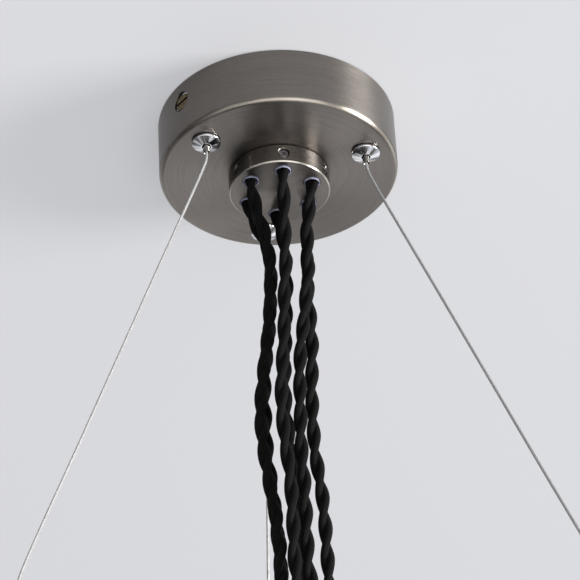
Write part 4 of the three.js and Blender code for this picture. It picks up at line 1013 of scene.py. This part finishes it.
def makeHub(setup):
    radius, face, top, bevel = setup["radius"], setup["face"], setup["top"], setup["bevel"]
    disc = turned("cordHub", [(ring, face) for ring in (*setup["faceRings"], radius - bevel)] + [
        (radius, face + bevel), (radius, face + setup["wallRing"]), (radius, top - setup["topBevel"]),
        (radius - setup["topBevel"], top), (0, top)], 240)
    high = top + cutOverrun
    down = [drill(setup["cordHole"], face - cutOverrun, high, cordPlace(k)) for k in cordNumbers]
    down.append(drill(setup["screwHole"], top - setup["screwDepth"], high))
    out = []
    for k in cordNumbers:
        hole = mouthedDrill(setup["grubHole"], setup["grubMouth"], cordSetup["pitchRadius"],
                            radius - setup["mouthDepth"], radius + setup["mouthReach"], 48)
        out.append(turnOut(hole, (0, 0, setup["grubHeight"]), cordAngle(k)))
    mesh = cutMesh(disc, [joinedMesh("down", down), joinedMesh("out", out)])
    addObject("cordHub", mesh, "hubNickel", ["cord_hub"], sharp=28)


sleeveSetup = {"inner": 3.08, "outer": 3.3, "flangeRadius": 4.4, "flangeFoot": -25, "top": -24.2,
               "holeReach": 5, "edges": (0.08, 0.08, 0, 0.15, 0.15, 0.2)}
grubSetup = {"radius": 2.05, "length": 3, "chamfer": 0.3, "socketFlats": 1.8, "socketFloor": 1.9,
             "seat": 17.5, "edges": (0, 0.05, 0.05, 0.08, 0.08, 0)}
sideScrewSetup = {"shank": 2, "length": 8, "tip": 1.6, "threadFoot": 7.6, "threadTop": 0.3,
                  "threadDepth": 0.14, "threadPitch": 0.7, "threadStep": 0.0875, "head": 4.1,
                  "headSide": 1.5, "crown": 3.5, "headHeight": 2.1, "slotWidth": 1.1, "slotReach": 9.2,
                  "slotFloor": 1.1, "setBack": 0.5, "edges": (0, 0.15, 0.35, 0.35, 0)}


def makeSleeve(k, setup):
    foot, top, low = cordSetup["exitHeight"], setup["top"], setup["flangeFoot"]
    inner, outer, wide = setup["inner"], setup["outer"], setup["flangeRadius"]
    ring = turned(f"cordSleeve_{k}", softProfile([
        (inner, foot), (outer, foot), (outer, low), (wide, low), (wide, top), (inner, top)],
        setup["edges"]), 72, cordPlace(k) / 1000, closed=True)
    hole = turnOut(drill(hubSetup["grubHole"], 0, setup["holeReach"], sides=36),
                   cordPlace(k, hubSetup["grubHeight"]), cordAngle(k))
    addObject(f"cordSleeve_{k}", cutMesh(ring, [hole]), "clear", [f"cord_sleeve_{k}"], sharp=28)


def makeGrub(k, setup):
    radius, length, chamfer = setup["radius"], setup["length"], setup["chamfer"]
    body = turned(f"grubScrew_{k}", softProfile([
        (0, 0), (radius - chamfer, 0), (radius, chamfer), (radius, length - chamfer),
        (radius - chamfer, length), (0, length)], setup["edges"]), 48)
    socketRadius = setup["socketFlats"] / 2 / math.cos(math.pi / 6)
    mesh = cutMesh(body, [drill(socketRadius, setup["socketFloor"], length + cutOverrun, sides=6)])
    turnOut(mesh, polar(setup["seat"], cordAngle(k), hubSetup["grubHeight"]), cordAngle(k))
    addObject(f"grubScrew_{k}", mesh, "grub", [f"grub_screw_{k}"], f"grub_{k}", 28)


def slotCutter(width, reach, low, high):
    half, wide = reach / 2000, width / 2000
    corners = ((-half, -wide), (half, -wide), (half, wide), (-half, wide))
    points = [(x, y, z / 1000) for z in (low, high) for x, y in corners]
    return meshFrom("slot", points, [(0, 1, 2, 3), (4, 5, 6, 7), (0, 1, 5, 4), (1, 2, 6, 5), (2, 3, 7, 6),
                                     (3, 0, 4, 7)])


def makeSideScrew(k, setup):
    shank, head, high, length = setup["shank"], setup["head"], setup["headHeight"], setup["length"]
    heights = np.arange(-setup["threadFoot"], -setup["threadTop"], setup["threadStep"])
    thread = [(shank - setup["threadDepth"] * abs(math.sin(math.pi * height / setup["threadPitch"])), height)
              for height in heights]
    crown = softProfile([(shank, 0), (head, 0), (head, setup["headSide"]), (setup["crown"], high),
                         (0, high)], setup["edges"])
    body = turned(f"sideScrew_{k}", [(0, -length), (setup["tip"], -length)] + thread + crown, 72)
    slot = slotCutter(setup["slotWidth"], setup["slotReach"], setup["slotFloor"], high + cutOverrun)
    angle = canopySetup["bracketTurn"] + 180 * (k - 1)
    seat = canopySetup["radius"] - setup["setBack"] - high
    mesh = turnOut(cutMesh(body, [slot]), polar(seat, angle, -canopySetup["sideDrop"]), angle)
    addObject(f"sideScrew_{k}", mesh, "brass", [f"side_screw_{k}"], f"side_{k}", 28)


makeCanopy(canopySetup)
makeHub(hubSetup)
for k in cordNumbers:
    makeSleeve(k, sleeveSetup)
    makeGrub(k, grubSetup)
for k in (1, 2):
    makeSideScrew(k, sideScrewSetup)
print("canopy, hub and screws made")


# Inside the canopy: two leads of each cord into the terminal block's ports, and the softened CAD pieces
leadSetup = {"bracketFrame": -141, "blockWidth": 17, "portPitch": 4.2, "portHeight": -6.8, "portDepth": 3.7,
             "spread": 1.3, "bulge": 4.2, "rise": 2.6, "sag": 2.2, "cordTop": -20.3, "radius": 0.9,
             "acrossShare": 0.8, "heightShare": 0.12, "step": 0.0006, "sides": 14}
servedCords = {-1: [3, 4, 5], 1: [2, 1, 6]}
# Name, CAD node, softened edge in metres and material
insideNodes = [
    ("ceilingBracket", "ceiling_bracket", 0.0003, "zinc"),
    ("terminalBlock", "terminal_block", 0.0002, "whitePlastic"),
    ("blockScrew_1", "block_screw_1", 0.0003, "zinc"),
    ("blockScrew_2", "block_screw_2", 0.0003, "zinc"),
    ("earthScrew", "earth_screw", 0.0003, "brass"),
    ("hubScrew", "hub_screw", 0.0003, "zinc"),
    ("hubWasher", "hub_washer", 0.0001, "zinc"),
    ("earthLead", "earth_lead", 0.0001, "greenLead"),
]


# Worked out in the bracket's frame, X along the block's ports, and turned into the row frame
def leadLine(k, side, order, pole, setup):
    turnBack = math.radians(-setup["bracketFrame"])
    start = cordPlace(k)
    x0 = start[0] * math.cos(turnBack) - start[1] * math.sin(turnBack) + pole * setup["spread"]
    y0 = start[0] * math.sin(turnBack) + start[1] * math.cos(turnBack)
    face, port, bulge = side * setup["blockWidth"] / 2, setup["portHeight"], side * setup["bulge"]
    x1 = (2 * order + (pole + 1) / 2 - 2.5) * setup["portPitch"]
    y1, top, across = face + bulge, setup["cordTop"] + setup["rise"], setup["acrossShare"]
    crest = top + (port - top) * setup["heightShare"]
    points = np.array([
        (x0, y0, setup["cordTop"] - setup["radius"]), (x0, y0, top),
        (x0 + (x1 - x0) * across, y0 + (y1 - y0) * across, crest), (x1, y1, port - setup["sag"]),
        (x1, face + bulge / 3, port), (x1, face - side * setup["portDepth"], port)])
    points[:, :2] = points[:, :2] @ np.array([[math.cos(turnBack), -math.sin(turnBack)],
                                              [math.sin(turnBack), math.cos(turnBack)]])
    return smoothLine(points / 1000, setup["step"])


def makeLeads(setup):
    for side, cords in servedCords.items():
        for order, k in enumerate(cords):
            for pole, colour in ((-1, "brownLead"), (1, "blueLead")):
                makeRope(f"cordLead_{k}_{colour}", leadLine(k, side, order, pole, setup), colour, (), {
                    "Strands": 1, "Offset": 0.0, "Strand radius": setup["radius"] / 1000,
                    "Sides": setup["sides"]})


makeLeads(leadSetup)
for name, node, width, material in insideNodes:
    softenedNode(name, node, width, material)
print("inside made")
